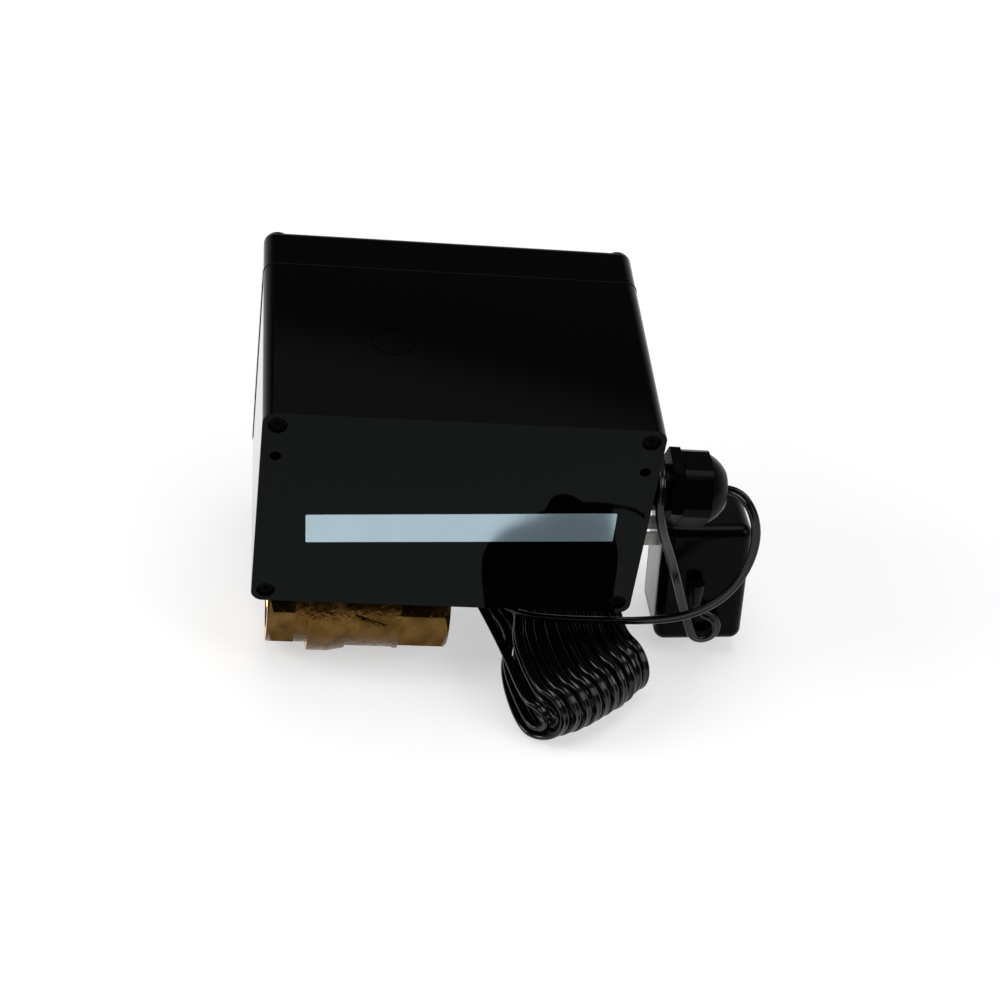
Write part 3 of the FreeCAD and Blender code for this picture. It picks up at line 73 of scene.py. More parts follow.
# Cord: one flat twin PVC lead. It leaves the gland, drops behind the housing, is wound by hand into a
# waisted hank of two nested layers, passes behind the hank and over the gland's neck, and ends in the wall
# adapter. The points of the leads and the sizes of the hank are in millimetres.
CORD_WIDTH = 4.2 * MM
CORD_THICKNESS = 2.3 * MM
LEAD_FROM_GLAND = [
    (186.5, -9, 78), (193, -9, 78), (200.5, -13, 70.5), (204.2, -16.5, 58), (202, -20.5, 43),
    (194.5, -23, 28.5), (181, -21.5, 15.5), (163, -18.5, 9), (143, -17.5, 7.6), (125, -17.3, 7.4),
    (112.5, -16, 7.4), (104.8, -11, 6.8), (102, -2.96, 2.6)]
HANK_START = (101.6, -1, 2.6)
LEAD_TO_ADAPTER = [
    (86.15, 25.16, -2.6), (83.04, 32.53, -2.6), (84, 44.5, -6), (92.5, 55.5, -12.5), (105.5, 61.5, -18),
    (121, 61.5, -21), (137, 57.5, -21.6), (149, 48.5, -18), (154.4, 37, -7), (155, 28, 9), (155, 20.5, 31),
    (155.2, 12.5, 53), (157.4, 5.6, 78), (157.6, -1.8, 90.8), (157.6, -16.2, 90.8), (157.4, -24, 77.2),
    (161.2, -22.8, 64.3), (167.2, -17.6, 50), (175, -12.4, 29), (181.6, -9.8, 10), (187, -8.9, -3.5),
    (189.6, -8.5, -9.4), (194, -8.2, -11.4), (198.5, -7.8, -9.5), (200.3, -7.3, -4.2), (197.6, -6.7, 1.2),
    (190.8, -5.5, 3.1), (187.4, -4.6, 9)]
HANK_LOOPS = 10
HANK_PITCH = 4.8
HANK_RADIUS = 12.3
HANK_LAYER = 5.2
HANK_LOWEST = -22
HANK_MIDDLE = HANK_LOWEST + HANK_RADIUS
HANK_BACK = (125.5, 19)
HANK_WAIST = (129.2, -6.5)
HANK_TIP = (142.8, -49.2)
HANK_SHOULDER = 11
SHOULDER_SLACK = 0.9
FAN_MIDDLE = -44
FAN_SPREAD = -10
TURN_ANGLES = (22.5, 67.5, 112.5, 157.5)
TURN_REACH = 1.082
TURN_LEAD = 0.414
RUN_LEAD = 0.26
loose_turns = np.random.default_rng(4)


def hank_knot(end, strand, layer, top):
    """
    Where a strand, counted across from the middle one, passes an end of the hank or its waist: the end's
    name, the point and the strand's way there. The points of each end lie on a slanting line. At the front
    the strands fan out, and their tips bulge by 1 - share^2, where share runs from -1 to 1 across the hank.
    """
    radius = HANK_RADIUS - layer * HANK_LAYER
    height = HANK_MIDDLE + (radius if top else -radius)
    across = strand * HANK_PITCH
    share = 2 * strand / HANK_LOOPS
    if end == "back":
        flat = (HANK_BACK[0] + 1.27 * across, HANK_BACK[1] - 0.083 * across)
        forward = np.array((0.05 - 0.30 * share, -1.0, 0.0))
    elif end == "waist":
        flat = (HANK_WAIST[0] + across, HANK_WAIST[1] + 0.2 * across)
        forward = np.array((0.16 * share - 0.10, -1.0, 0.0))
    else:
        fan = math.radians(FAN_MIDDLE + FAN_SPREAD * share)
        forward = np.array((math.cos(fan), math.sin(fan), 0.0))
        bulge = 1 - share * share
        tip = np.array((HANK_TIP[0] + 0.9 * across + 2.6 * bulge, HANK_TIP[1] + 0.675 * across - 3 * bulge))
        flat = tip - forward[:2] * (HANK_SHOULDER + loose_turns.uniform(-SHOULDER_SLACK, SHOULDER_SLACK))
    forward /= np.linalg.norm(forward)
    return end, np.array((*flat, height)), -forward if top else forward


def knot_lead(end, knot, run):
    """How far from a knot its control point lies, by the half turn's radius or by the run's length."""
    if end in ("back", "front"):
        return TURN_LEAD * abs(knot[2] - HANK_MIDDLE)
    return RUN_LEAD * run


def hank_points(knots):
    """
    Control points along the hank. A half turn of radius r has four, at the turn angles and on r times
    TURN_REACH. A run between two knots has one near each, along the strand's way there: r times TURN_LEAD
    from a half turn's knot, and the run's length times RUN_LEAD from any other.
    """
    points = []
    for (end, here, way), (next_end, there, next_way) in zip(knots, knots[1:]):
        if end == next_end:
            radius = abs(there[2] - here[2]) / 2
            for turned in np.radians(TURN_ANGLES):
                part = turned / math.pi
                outward = (1 - part) * way - part * next_way
                spot = (1 - part) * here + part * there
                rise = (here[2] - there[2]) / 2 * TURN_REACH * math.cos(turned)
                spot[2] = (here[2] + there[2]) / 2 + rise
                outward = outward / np.linalg.norm(outward)
                points.append(spot + outward * TURN_REACH * radius * math.sin(turned))
        else:
            run = np.linalg.norm(there - here)
            points.append(here + way * knot_lead(end, here, run))
            points.append(there - next_way * knot_lead(next_end, there, run))
    return [tuple(point) for point in points]


hank_stops = []
outermost = HANK_LOOPS / 2
for loop in range(HANK_LOOPS):
    strand = -outermost + loop
    hank_stops += [("back", strand, 0, True), ("back", strand + 0.5, 0, False),
                   ("waist", strand + 0.5, 0, False), ("front", strand + 0.5, 0, False),
                   ("front", strand + 1, 0, True), ("waist", strand + 1, 0, True)]
hank_stops += [("back", outermost, 0, True), ("back", outermost + 0.5, 0, False)]
for loop in range(HANK_LOOPS + 1):
    strand = outermost - loop
    hank_stops += [("waist", strand + 0.5, 1, False), ("front", strand + 0.5, 1, False),
                   ("front", strand, 1, True), ("waist", strand, 1, True)]
    if loop < HANK_LOOPS:
        hank_stops += [("back", strand, 1, True), ("back", strand - 0.5, 1, False)]
hank_start = ("start", np.array(HANK_START), np.array((-0.2, 0.98, 0)))
hank = hank_points([hank_start] + [hank_knot(*stop) for stop in hank_stops])

route = np.array(LEAD_FROM_GLAND + hank + LEAD_TO_ADAPTER) * MM
route_curve = bpy.data.curves.new("cord_route", "CURVE")
route_curve.dimensions = "3D"
route_curve.resolution_u = 9
spline = route_curve.splines.new("NURBS")
spline.points.add(len(route) - 1)
spline.points.foreach_set("co", np.column_stack((route, np.ones(len(route)))).ravel())
spline.order_u = 3
spline.use_endpoint_u = True
route_object = bpy.data.objects.new("cord_route", route_curve)
route_mesh = bpy.data.meshes.new_from_object(route_object)
cord_path = np.empty(len(route_mesh.vertices) * 3)
route_mesh.vertices.foreach_get("co", cord_path)
cord_path = cord_path.reshape(-1, 3)
bpy.data.objects.remove(route_object)
bpy.data.meshes.remove(route_mesh)


def grid_mesh(name, points, closed_round=True, closed_along=False, caps=False):
    """A mesh from a grid of points (rows, columns, 3). Faces join neighbours along rows and columns."""
    rows, columns = points.shape[:2]
    index = np.arange(rows * columns).reshape(rows, columns)
    if closed_along:
        index = np.vstack((index, index[:1]))
    if closed_round:
        index = np.hstack((index, index[:, :1]))
    faces = np.stack((index[:-1, :-1], index[:-1, 1:], index[1:, 1:], index[1:, :-1]), axis=-1)
    faces = faces.reshape(-1, 4).tolist()
    if caps:
        faces += [index[0, :columns][::-1].tolist(), index[-1, :columns].tolist()]
    mesh = bpy.data.meshes.new(name)
    mesh.from_pydata(points.reshape(-1, 3).tolist(), [], faces)
    mesh.shade_smooth()
    mesh.update()
    piece = bpy.data.objects.new(name, mesh)
    bpy.context.collection.objects.link(piece)
    return piece


def twin_section(count):
    """
    The cord's section: two round cores side by side. At each width its height is the root of core^2 -
    (width - offset)^2, where offset is the distance of a core's middle from the cord's.
    """
    core = CORD_THICKNESS / 2
    offset = CORD_WIDTH / 2 - core
    turn = np.arange(count) * 2 * math.pi / count
    wide = CORD_WIDTH / 2 * np.cos(turn)
    height = np.sqrt(np.maximum(core ** 2 - (np.abs(wide) - offset) ** 2, 0))
    return wide, height * np.sign(np.round(np.sin(turn), 6))


# The cord's wide side lies on the form that the hank was wound on. Each lead carries its own wide side
# along without twist, and passes into the hank's over a short stretch. Two slow rolls, each a lean in
# radians and a length in metres, keep the strands uneven.
ACROSS_STRANDS = (0.9, 0.43, 0.0)
LEAD_FACING = (-0.14, -0.75, 0.65)
LEAD_BLEND = 25 * MM
ROLLS = ((0.2, 0.037), (0.1, 0.0113))
tangents = np.gradient(cord_path, axis=0)
tangents /= np.linalg.norm(tangents, axis=1)[:, None]
cord_reach = np.concatenate(((0,), np.cumsum(np.linalg.norm(np.diff(cord_path, axis=0), axis=1))))
hank_first = np.argmin(np.linalg.norm(cord_path - np.array(HANK_START) * MM, axis=1))
hank_last = np.argmin(np.linalg.norm(cord_path - np.array(LEAD_TO_ADAPTER[0]) * MM, axis=1))
normals = np.cross(ACROSS_STRANDS, tangents)
normals /= np.linalg.norm(normals, axis=1)[:, None]
for steps in (range(hank_first), range(len(cord_path) - 1, hank_last, -1)):
    carried = np.array(LEAD_FACING)
    turned = []
    for step in steps:
        carried = carried - tangents[step] * carried.dot(tangents[step])
        carried /= np.linalg.norm(carried)
        turned.append(carried)
    lead = np.array(steps)
    turned = np.array(turned) * np.sign(normals[lead[-1]].dot(turned[-1]))
    share = np.clip(np.abs(cord_reach[lead] - cord_reach[lead[-1]]) / LEAD_BLEND, 0, 1)[:, None]
    normals[lead] = turned * share + normals[lead] * (1 - share)
normals -= tangents * (normals * tangents).sum(axis=1)[:, None]
normals /= np.linalg.norm(normals, axis=1)[:, None]
roll = sum(lean * np.sin(cord_reach / length) for lean, length in ROLLS)[:, None]
normals = normals * np.cos(roll) + np.cross(tangents, normals) * np.sin(roll)
sides = np.cross(tangents, normals)
wide, high = twin_section(20)
sections = sides[:, None] * wide[:, None] + normals[:, None] * high[:, None]
cord = grid_mesh("cord", (cord_path[:, None] + sections)[:, ::-1], caps=True)


def finish(name, colour, roughness, metallic=0.0, specular=0.5):
    """A new finish: one Principled shader whose plain values are set on its own sockets."""
    made = bpy.data.materials.new(name)
    made.use_nodes = True
    shader = made.node_tree.nodes["Principled BSDF"]
    shader.inputs["Base Color"].default_value = (*colour, 1)
    shader.inputs["Roughness"].default_value = roughness
    shader.inputs["Metallic"].default_value = metallic
    shader.inputs["Specular IOR Level"].default_value = specular
    return made


def pattern(made, kind, scale, stretch=(1, 1, 1), **values):
    """A procedural texture on the piece's own coordinates, with its features 1/scale metres large."""
    nodes, links = made.node_tree.nodes, made.node_tree.links
    place = nodes.new("ShaderNodeTexCoord")
    mapping = nodes.new("ShaderNodeMapping")
    mapping.inputs["Scale"].default_value = stretch
    texture = nodes.new("ShaderNodeTex" + kind)
    texture.inputs["Scale"].default_value = scale
    for name, number in values.items():
        texture.inputs[name].default_value = number
    links.new(place.outputs["Object"], mapping.inputs["Vector"])
    links.new(mapping.outputs["Vector"], texture.inputs["Vector"])
    return texture.outputs["Distance" if kind == "Voronoi" else "Fac"]


def spread(made, source, low, high, target, start=0.3, end=0.7):
    """Maps a pattern between two values or colours on the shader's named socket."""
    nodes, links = made.node_tree.nodes, made.node_tree.links
    shader = nodes["Principled BSDF"]
    if isinstance(low, tuple):
        ramp = nodes.new("ShaderNodeValToRGB")
        ramp.color_ramp.elements[0].position = start
        ramp.color_ramp.elements[0].color = (*low, 1)
        ramp.color_ramp.elements[1].position = end
        ramp.color_ramp.elements[1].color = (*high, 1)
        links.new(source, ramp.inputs["Fac"])
        links.new(ramp.outputs["Color"], shader.inputs[target])
        return
    steps = nodes.new("ShaderNodeMapRange")
    steps.inputs["From Min"].default_value = start
    steps.inputs["From Max"].default_value = end
    steps.inputs["To Min"].default_value = low
    steps.inputs["To Max"].default_value = high
    links.new(source, steps.inputs["Value"])
    links.new(steps.outputs["Result"], shader.inputs[target])


def relief(made, source, height, strength=1.0):
    """Raises the surface by a pattern, in metres; further reliefs add to the first."""
    nodes, links = made.node_tree.nodes, made.node_tree.links
    shader = nodes["Principled BSDF"]
    bump = nodes.new("ShaderNodeBump")
    bump.inputs["Distance"].default_value = height
    bump.inputs["Strength"].default_value = strength
    links.new(source, bump.inputs["Height"])
    if shader.inputs["Normal"].links:
        links.new(shader.inputs["Normal"].links[0].from_socket, bump.inputs["Normal"])
    links.new(bump.outputs["Normal"], shader.inputs["Normal"])


def dress(made, *nodes):
    """Gives a finish to solids of the frame."""
    for node in nodes:
        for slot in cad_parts[node].material_slots:
            slot.material = made


cord_pvc = finish("cord_pvc", (0.0015, 0.0015, 0.002), 0.14, specular=0.3)
spread(cord_pvc, pattern(cord_pvc, "Noise", 260), 0.09, 0.19, "Roughness")
relief(cord_pvc, pattern(cord_pvc, "Noise", 700), 0.00004)
cord.data.materials.append(cord_pvc)
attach(cord, "assembly")
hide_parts("cord_hank", "cord_lead", "cord_adapter_lead")

# Wall adapter: two moulded ABS shells round a transformer, with plated blades, a soft strain relief, and a
# pale label that covers its blade side, with a slot for each blade and a thin printed border.
ADAPTER_LEAN = Matrix.Rotation(math.radians(-3.9), 4, "Y") @ Matrix.Rotation(math.radians(-8.2), 4, "X")
ADAPTER_PLACE = Matrix.Translation(Vector((194, 14.5, -19.3)) * MM) @ ADAPTER_LEAN
BLADE_SIDE = ADAPTER_PLACE @ Matrix(((0, 0, -1, -0.0198), (-1, 0, 0, 0), (0, 1, 0, 0), (0, 0, 0, 1)))
BLADES_ACROSS = (-6.35, 6.35)


def rounded_corners(corners, radius, steps=6):
    """
    An outline whose corners are curves between a point on each of the two sides: (1-t)^2 first +
    2t(1-t) corner + t^2 last.
    """
    corners = np.asarray(corners, float)
    before, after = np.roll(corners, 1, axis=0), np.roll(corners, -1, axis=0)
    inward = (before - corners) / np.linalg.norm(before - corners, axis=1)[:, None]
    outward = (after - corners) / np.linalg.norm(after - corners, axis=1)[:, None]
    share = np.linspace(0, 1, steps + 1)[None, :, None]
    first = (corners + inward * radius)[:, None]
    last = (corners + outward * radius)[:, None]
    curves = (1 - share) ** 2 * first + 2 * share * (1 - share) * corners[:, None] + share ** 2 * last
    return curves.reshape(-1, 2)


def rectangle(left, right, low, high):
    """The corners of an upright rectangle, anticlockwise from the lower left."""
    return ((left, low), (right, low), (right, high), (left, high))


def flat_sheet(name, outlines, thickness, place):
    """A thin sheet between its outline and the openings in it, drawn flat and set in place by a matrix."""
    curve = bpy.data.curves.new(name, "CURVE")
    curve.dimensions = "2D"
    curve.fill_mode = "BOTH"
    curve.extrude = thickness / 2
    for outline in outlines:
        edge = curve.splines.new("POLY")
        edge.points.add(len(outline) - 1)
        zeros, ones = np.zeros(len(outline)), np.ones(len(outline))
        edge.points.foreach_set("co", np.column_stack((outline, zeros, ones)).ravel())
        edge.use_cyclic_u = True
    holder = bpy.data.objects.new(name, curve)
    mesh = bpy.data.meshes.new_from_object(holder)
    bpy.data.objects.remove(holder)
    mesh.transform(place)
    piece = bpy.data.objects.new(name, mesh)
    bpy.context.collection.objects.link(piece)
    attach(piece, "assembly")
    return piece


slots = [rounded_corners(np.array(rectangle(across - 1.1, across + 1.1, 44.4, 51.6)) * MM, 0.4 * MM)
         for across in BLADES_ACROSS]
label_edge = rounded_corners(np.array(rectangle(-14, 14, 6, 55)) * MM, 1.2 * MM)
border = [rounded_corners(np.array(rectangle(-13 + inset, 13 - inset, 7 + inset, 54 - inset)) * MM, 0.9 * MM)
          for inset in (0, 0.35)]
adapter_label = flat_sheet("adapter_label", [label_edge] + slots, 0.2 * MM, BLADE_SIDE)
adapter_border = flat_sheet("adapter_label_border", border, 0.26 * MM, BLADE_SIDE)
adapter_paper = finish("adapter_paper", (0.86, 0.93, 0.94), 0.3, metallic=0.1)
spread(adapter_paper, pattern(adapter_paper, "Noise", 90, Detail=2.0), (0.82, 0.9, 0.91), (0.88, 0.95, 0.96),
       "Base Color")
adapter_label.data.materials.append(adapter_paper)
print_ink = finish("print_ink", (0.01, 0.01, 0.012), 0.5)
spread(print_ink, pattern(print_ink, "Noise", 900), 0.42, 0.6, "Roughness")
adapter_border.data.materials.append(print_ink)
adapter_black = finish("adapter_black", (0.001, 0.0011, 0.0012), 0.2, specular=0.05)
spread(adapter_black, pattern(adapter_black, "Noise", 90, Detail=3.0), 0.16, 0.24, "Roughness")
relief(adapter_black, pattern(adapter_black, "Noise", 40), 0.00004)
dress(adapter_black, "adapter_prong_shell", "adapter_main_shell")
relief_rubber = finish("relief_rubber", (0.0015, 0.0015, 0.002), 0.35, specular=0.1)
relief(relief_rubber, pattern(relief_rubber, "Wave", 320, (0, 0, 1)), 0.0003)
dress(relief_rubber, "adapter_relief")
blade_metal = finish("blade_metal", (0.26, 0.25, 0.23), 0.3, metallic=1.0)
spread(blade_metal, pattern(blade_metal, "Noise", 120, (6, 1, 1)), 0.25, 0.38, "Roughness")
dress(blade_metal, "adapter_blades")
core_iron = finish("core_iron", (0.16, 0.16, 0.17), 0.5, metallic=0.8)
relief(core_iron, pattern(core_iron, "Wave", 300, (0, 1, 0)), 0.0002)
dress(core_iron, "transformer_core")
coil_copper = finish("coil_copper", (0.5, 0.2, 0.07), 0.3, metallic=0.9)
relief(coil_copper, pattern(coil_copper, "Wave", 600, (0, 0, 1)), 0.0002)
dress(coil_copper, "transformer_coil")
cord_length = float(np.linalg.norm(np.diff(cord_path, axis=0), axis=1).sum())
print("cord: %.3f m long" % cord_length)

# Table: a white sheet that keeps the object's shadow. Its own glow, which the camera and shiny surfaces see
# but which doesn't light the object, makes it white, and grows to full white away from the object. A black
# card on it, seen by reflections alone, is a painted reflection: it paints a dark area into the glossy panel
# and its label.
FLOOR_LEVEL = -0.0245
TABLE_HALF = 6


def table_sheet(name, outline, level, made):
    """A level sheet of the stage, face up, from an outline that runs anticlockwise seen from above."""
    mesh = bpy.data.meshes.new(name)
    mesh.from_pydata([(x, y, level) for x, y in outline], [], [list(range(len(outline)))])
    sheet = bpy.data.objects.new(name, mesh)
    bpy.context.collection.objects.link(sheet)
    sheet.data.materials.append(made)
    return sheet


white_table = finish("white_table", (0.45, 0.45, 0.45), 0.9, specular=0.0)
table_nodes, table_links = white_table.node_tree.nodes, white_table.node_tree.links
table_place = table_nodes.new("ShaderNodeTexCoord")
table_reach = table_nodes.new("ShaderNodeVectorMath")
table_reach.operation = "LENGTH"
table_fade = table_nodes.new("ShaderNodeMapRange")
table_fade.inputs["From Min"].default_value = 0.3
table_fade.inputs["From Max"].default_value = 1.2
table_fade.inputs["To Min"].default_value = 0.54
table_fade.inputs["To Max"].default_value = 1.0
table_glow = table_nodes.new("ShaderNodeEmission")
table_sum = table_nodes.new("ShaderNodeAddShader")
ray_kind = table_nodes.new("ShaderNodeLightPath")
seen_in_gloss = table_nodes.new("ShaderNodeMath")
seen_in_gloss.operation = "MAXIMUM"
seen_at_all = table_nodes.new("ShaderNodeMath")
seen_at_all.operation = "MAXIMUM"
table_choice = table_nodes.new("ShaderNodeMixShader")
table_paint = table_nodes["Principled BSDF"]
for source, target in (
        (table_place.outputs["Object"], table_reach.inputs[0]),
        (table_reach.outputs["Value"], table_fade.inputs["Value"]),
        (table_fade.outputs["Result"], table_glow.inputs["Strength"]),
        (table_paint.outputs[0], table_sum.inputs[0]),
        (table_glow.outputs[0], table_sum.inputs[1]),
        (ray_kind.outputs["Is Glossy Ray"], seen_in_gloss.inputs[0]),
        (ray_kind.outputs["Is Transmission Ray"], seen_in_gloss.inputs[1]),
        (ray_kind.outputs["Is Camera Ray"], seen_at_all.inputs[0]),
        (seen_in_gloss.outputs[0], seen_at_all.inputs[1]),
        (seen_at_all.outputs[0], table_choice.inputs[0]),
        (table_paint.outputs[0], table_choice.inputs[1]),
        (table_sum.outputs[0], table_choice.inputs[2]),
        (table_choice.outputs[0], table_nodes["Material Output"].inputs["Surface"])):
    table_links.new(source, target)
table_sheet("floor", rectangle(-TABLE_HALF, TABLE_HALF, -TABLE_HALF, TABLE_HALF), FLOOR_LEVEL, white_table)
# Painted reflection: a black sheet that only reflections see, which paints a dark area into the glossy panel
# and its label.
painted_reflection_corners = ((160, -78), (161, -95), (164, -108.5), (166.5, -122), (167, -152), (168, -155),
                (173, -155.2), (178.5, -153), (183, -148), (183, -152), (179, -156.2), (166, -159.2),
                (153.5, -159.2), (149, -163.5), (144, -164.8), (139, -162), (134, -152), (116, -140.5),
                (106, -129), (101.5, -118), (100, -106), (100, -78))
painted_reflection_edge = rounded_corners(np.array(painted_reflection_corners[::-1]) * MM, 0.5 * MM)
painted_reflection_black = finish("painted_reflection_black", (0.001, 0.001, 0.001), 0.9, specular=0.0)
painted_reflection_card = table_sheet("painted_reflection_sheet", painted_reflection_edge, FLOOR_LEVEL + 0.2 * MM, painted_reflection_black)
painted_reflection_card.visible_camera = painted_reflection_card.visible_diffuse = painted_reflection_card.visible_shadow = False

# World and lamps: white behind the table for the camera. For the object the sky is bright at the horizon,
# dark higher up, and pale again above a slanting edge, which the top wall mirrors. It is darker on the side
# that the housing's back faces. Three soft lamps stand round the table.
SKY_LEVELS = ((0.0, 1.0), (0.3, 0.6), (0.5, 0.1), (0.59, 0.03), (0.607, 0.27), (1.0, 0.4))
world = bpy.data.worlds.new("studio")
bpy.context.scene.world = world
world.use_nodes = True
sky_nodes, sky_links = world.node_tree.nodes, world.node_tree.links
sky_way = sky_nodes.new("ShaderNodeTexCoord")
sky_slant = sky_nodes.new("ShaderNodeVectorMath")
sky_slant.operation = "DOT_PRODUCT"
sky_slant.inputs[1].default_value = (-0.065, 0, 1)
sky_ramp = sky_nodes.new("ShaderNodeValToRGB")
sky_stops = sky_ramp.color_ramp.elements
for position, _ in SKY_LEVELS[1:-1]:
    sky_stops.new(position)
for stop, (_, level) in zip(sky_stops, SKY_LEVELS):
    stop.color = (level, level, level * 1.02, 1)
sky_axes = sky_nodes.new("ShaderNodeSeparateXYZ")
sky_shade = sky_nodes.new("ShaderNodeMapRange")
sky_shade.inputs["From Min"].default_value = -0.6
sky_shade.inputs["From Max"].default_value = 0.1
sky_shade.inputs["To Min"].default_value = 0.1
sky_product = sky_nodes.new("ShaderNodeVectorMath")
sky_product.operation = "SCALE"
sky_ray = sky_nodes.new("ShaderNodeLightPath")
sky_mix = sky_nodes.new("ShaderNodeMixRGB")
sky_mix.inputs[2].default_value = (1, 1, 1, 1)
for source, target in (
        (sky_way.outputs["Generated"], sky_slant.inputs[0]),
        (sky_slant.outputs["Value"], sky_ramp.inputs["Fac"]),
        (sky_way.outputs["Generated"], sky_axes.inputs[0]),
        (sky_axes.outputs["Y"], sky_shade.inputs["Value"]),
        (sky_ramp.outputs["Color"], sky_product.inputs[0]),
        (sky_shade.outputs["Result"], sky_product.inputs["Scale"]),
        (sky_ray.outputs["Is Camera Ray"], sky_mix.inputs[0]),
        (sky_product.outputs["Vector"], sky_mix.inputs[1]),
        (sky_mix.outputs[0], sky_nodes["Background"].inputs["Color"])):
    sky_links.new(source, target)


def soft_lamp(name, place, aim, size, power):
    """A square lamp of a size in metres and a power in watts that faces a point."""
    lamp = bpy.data.objects.new(name, bpy.data.lights.new(name, "AREA"))
    lamp.data.size = size
    lamp.data.energy = power
    lamp.location = place
    lamp.rotation_euler = (Vector(aim) - Vector(place)).to_track_quat("-Z", "Y").to_euler()
    bpy.context.collection.objects.link(lamp)


soft_lamp("lamp_left", (-1.15, -0.1, 0.7), (0.0, 0, 0.0), 0.7, 12)
soft_lamp("lamp_right", (1.0, -0.6, 0.9), (0.1, 0, 0.03), 0.6, 6)
soft_lamp("lamp_above", (0.05, 0.05, 1.6), (0.07, 0, 0), 1.0, 14)

# Housing: glossy black ABS box and cover, moulded, joined by four long blackened screws. The gloss is a
# little blue-green. The rubber gasket between box and cover shows as a thin round bead along the seam.
housing_black = finish("housing_black", (0.001, 0.001, 0.0011), 0.03, specular=0.08)
spread(housing_black, pattern(housing_black, "Noise", 24, Detail=3.0), 0.015, 0.05, "Roughness")
relief(housing_black, pattern(housing_black, "Noise", 11), 0.00012, 0.4)
housing_shader = housing_black.node_tree.nodes["Principled BSDF"]
housing_shader.inputs["Specular Tint"].default_value = (0.86, 0.98, 1, 1)
dress(housing_black, "rear_housing", "front_cover")
gasket_rubber = finish("gasket_rubber", (0.0015, 0.0015, 0.0015), 0.6, specular=0.06)
relief(gasket_rubber, pattern(gasket_rubber, "Noise", 1500), 0.00004)
dress(gasket_rubber, "cover_gasket", "gland_washer", "gland_seal")
screw_black = finish("screw_black", (0.0008, 0.0008, 0.001), 0.5, specular=0.03)
spread(screw_black, pattern(screw_black, "Noise", 800), 0.42, 0.6, "Roughness")
dress(screw_black, "housing_screws")
SEAM_Y = 69 * MM
CORNER_RADIUS = 5 * MM
BEAD_RADIUS = 0.28 * MM
corner_turn = np.radians(np.linspace(0, 90, 9)[None, :] + np.arange(4)[:, None] * 90).ravel()[:, None]
corner_x = np.repeat(np.array((147, -3, -3, 147)) * MM, 9)[:, None]
corner_z = np.repeat(np.array((120.5, 120.5, 30.5, 30.5)) * MM, 9)[:, None]
bead_turn = (np.arange(8) * math.pi / 4)[None, :]
bead_reach = CORNER_RADIUS + BEAD_RADIUS * np.cos(bead_turn)
seam_points = np.stack(np.broadcast_arrays(corner_x + bead_reach * np.cos(corner_turn),
                                           SEAM_Y + BEAD_RADIUS * np.sin(bead_turn),
                                           corner_z + bead_reach * np.sin(corner_turn)), axis=-1)
seam = grid_mesh("gasket_edge", seam_points, closed_along=True)
seam.data.materials.append(gasket_rubber)
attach(seam, "assembly")

# Back label: a strip of silvery film, stuck on the flat back by hand a few degrees off level, and left
# bare. It is drawn as seen from behind, with x to the right and z up.
BACK_PLANE = Matrix(((1, 0, 0, 0), (0, 0, -1, -0.0311), (0, 1, 0, 0), (0, 0, 0, 1)))
label_corners = np.array(((12.7, 59.1), (138.6, 66.3), (138.2, 81.5), (11.8, 73.9))) * MM
silver_film = finish("silver_film", (0.46, 0.61, 0.69), 0.1, metallic=0.6)
spread(silver_film, pattern(silver_film, "Noise", 35, Detail=2.0), (0.44, 0.59, 0.67), (0.48, 0.63, 0.71),
       "Base Color")
relief(silver_film, pattern(silver_film, "Noise", 60), 0.0001, 0.5)
back_label = flat_sheet("back_label", [rounded_corners(label_corners, 0.6 * MM)], 0.2 * MM, BACK_PLANE)
back_label.data.materials.append(silver_film)

# Ball valve: cast brass body and end cap with octagonal ends, a chromed ball, PTFE seats and a steel stem.
# The castings are dark and rough. Their end faces, which look along the pipe, are machined and painted
# bright: the bright colour, chosen by which way a face looks, is partly the machined finish and partly a
# painted highlight.
cast_brass = finish("cast_brass", (0.11, 0.056, 0.015), 0.28, metallic=1.0)
spread(cast_brass, pattern(cast_brass, "Noise", 90, Detail=6.0), (0.05, 0.025, 0.006), (0.165, 0.088, 0.024),
       "Base Color")
spread(cast_brass, pattern(cast_brass, "Noise", 240, Detail=3.0), 0.16, 0.38, "Roughness")
relief(cast_brass, pattern(cast_brass, "Noise", 160, Detail=4.0), 0.0009, 0.6)
relief(cast_brass, pattern(cast_brass, "Noise", 520, Detail=2.0), 0.0004, 0.7)
brass_nodes, brass_links = cast_brass.node_tree.nodes, cast_brass.node_tree.links
brass_shader = brass_nodes["Principled BSDF"]
# Painted highlight, partly machined finish: faces that look along the pipe get a bright brass colour.
brass_facing = brass_nodes.new("ShaderNodeTexCoord")
brass_axes = brass_nodes.new("ShaderNodeSeparateXYZ")
brass_end = brass_nodes.new("ShaderNodeMath")
brass_end.operation = "ABSOLUTE"
end_face_highlight_share = brass_nodes.new("ShaderNodeMapRange")
end_face_highlight_share.inputs["From Min"].default_value = 0.93
end_face_highlight_share.inputs["From Max"].default_value = 0.98
machined_and_highlight_mix = brass_nodes.new("ShaderNodeMixRGB")
machined_and_highlight_mix.inputs[2].default_value = (1, 0.66, 0.28, 1)
cast_colour = brass_shader.inputs["Base Color"].links[0].from_socket
for source, target in (
        (brass_facing.outputs["Normal"], brass_axes.inputs[0]),
        (brass_axes.outputs["X"], brass_end.inputs[0]),
        (brass_end.outputs[0], end_face_highlight_share.inputs["Value"]),
        (end_face_highlight_share.outputs["Result"], machined_and_highlight_mix.inputs[0]),
        (cast_colour, machined_and_highlight_mix.inputs[1]),
        (machined_and_highlight_mix.outputs[0], brass_shader.inputs["Base Color"])):
    brass_links.new(source, target)
dress(cast_brass, "valve_body", "valve_end_cap")
turned_brass = finish("turned_brass", (0.55, 0.36, 0.13), 0.22, metallic=1.0)
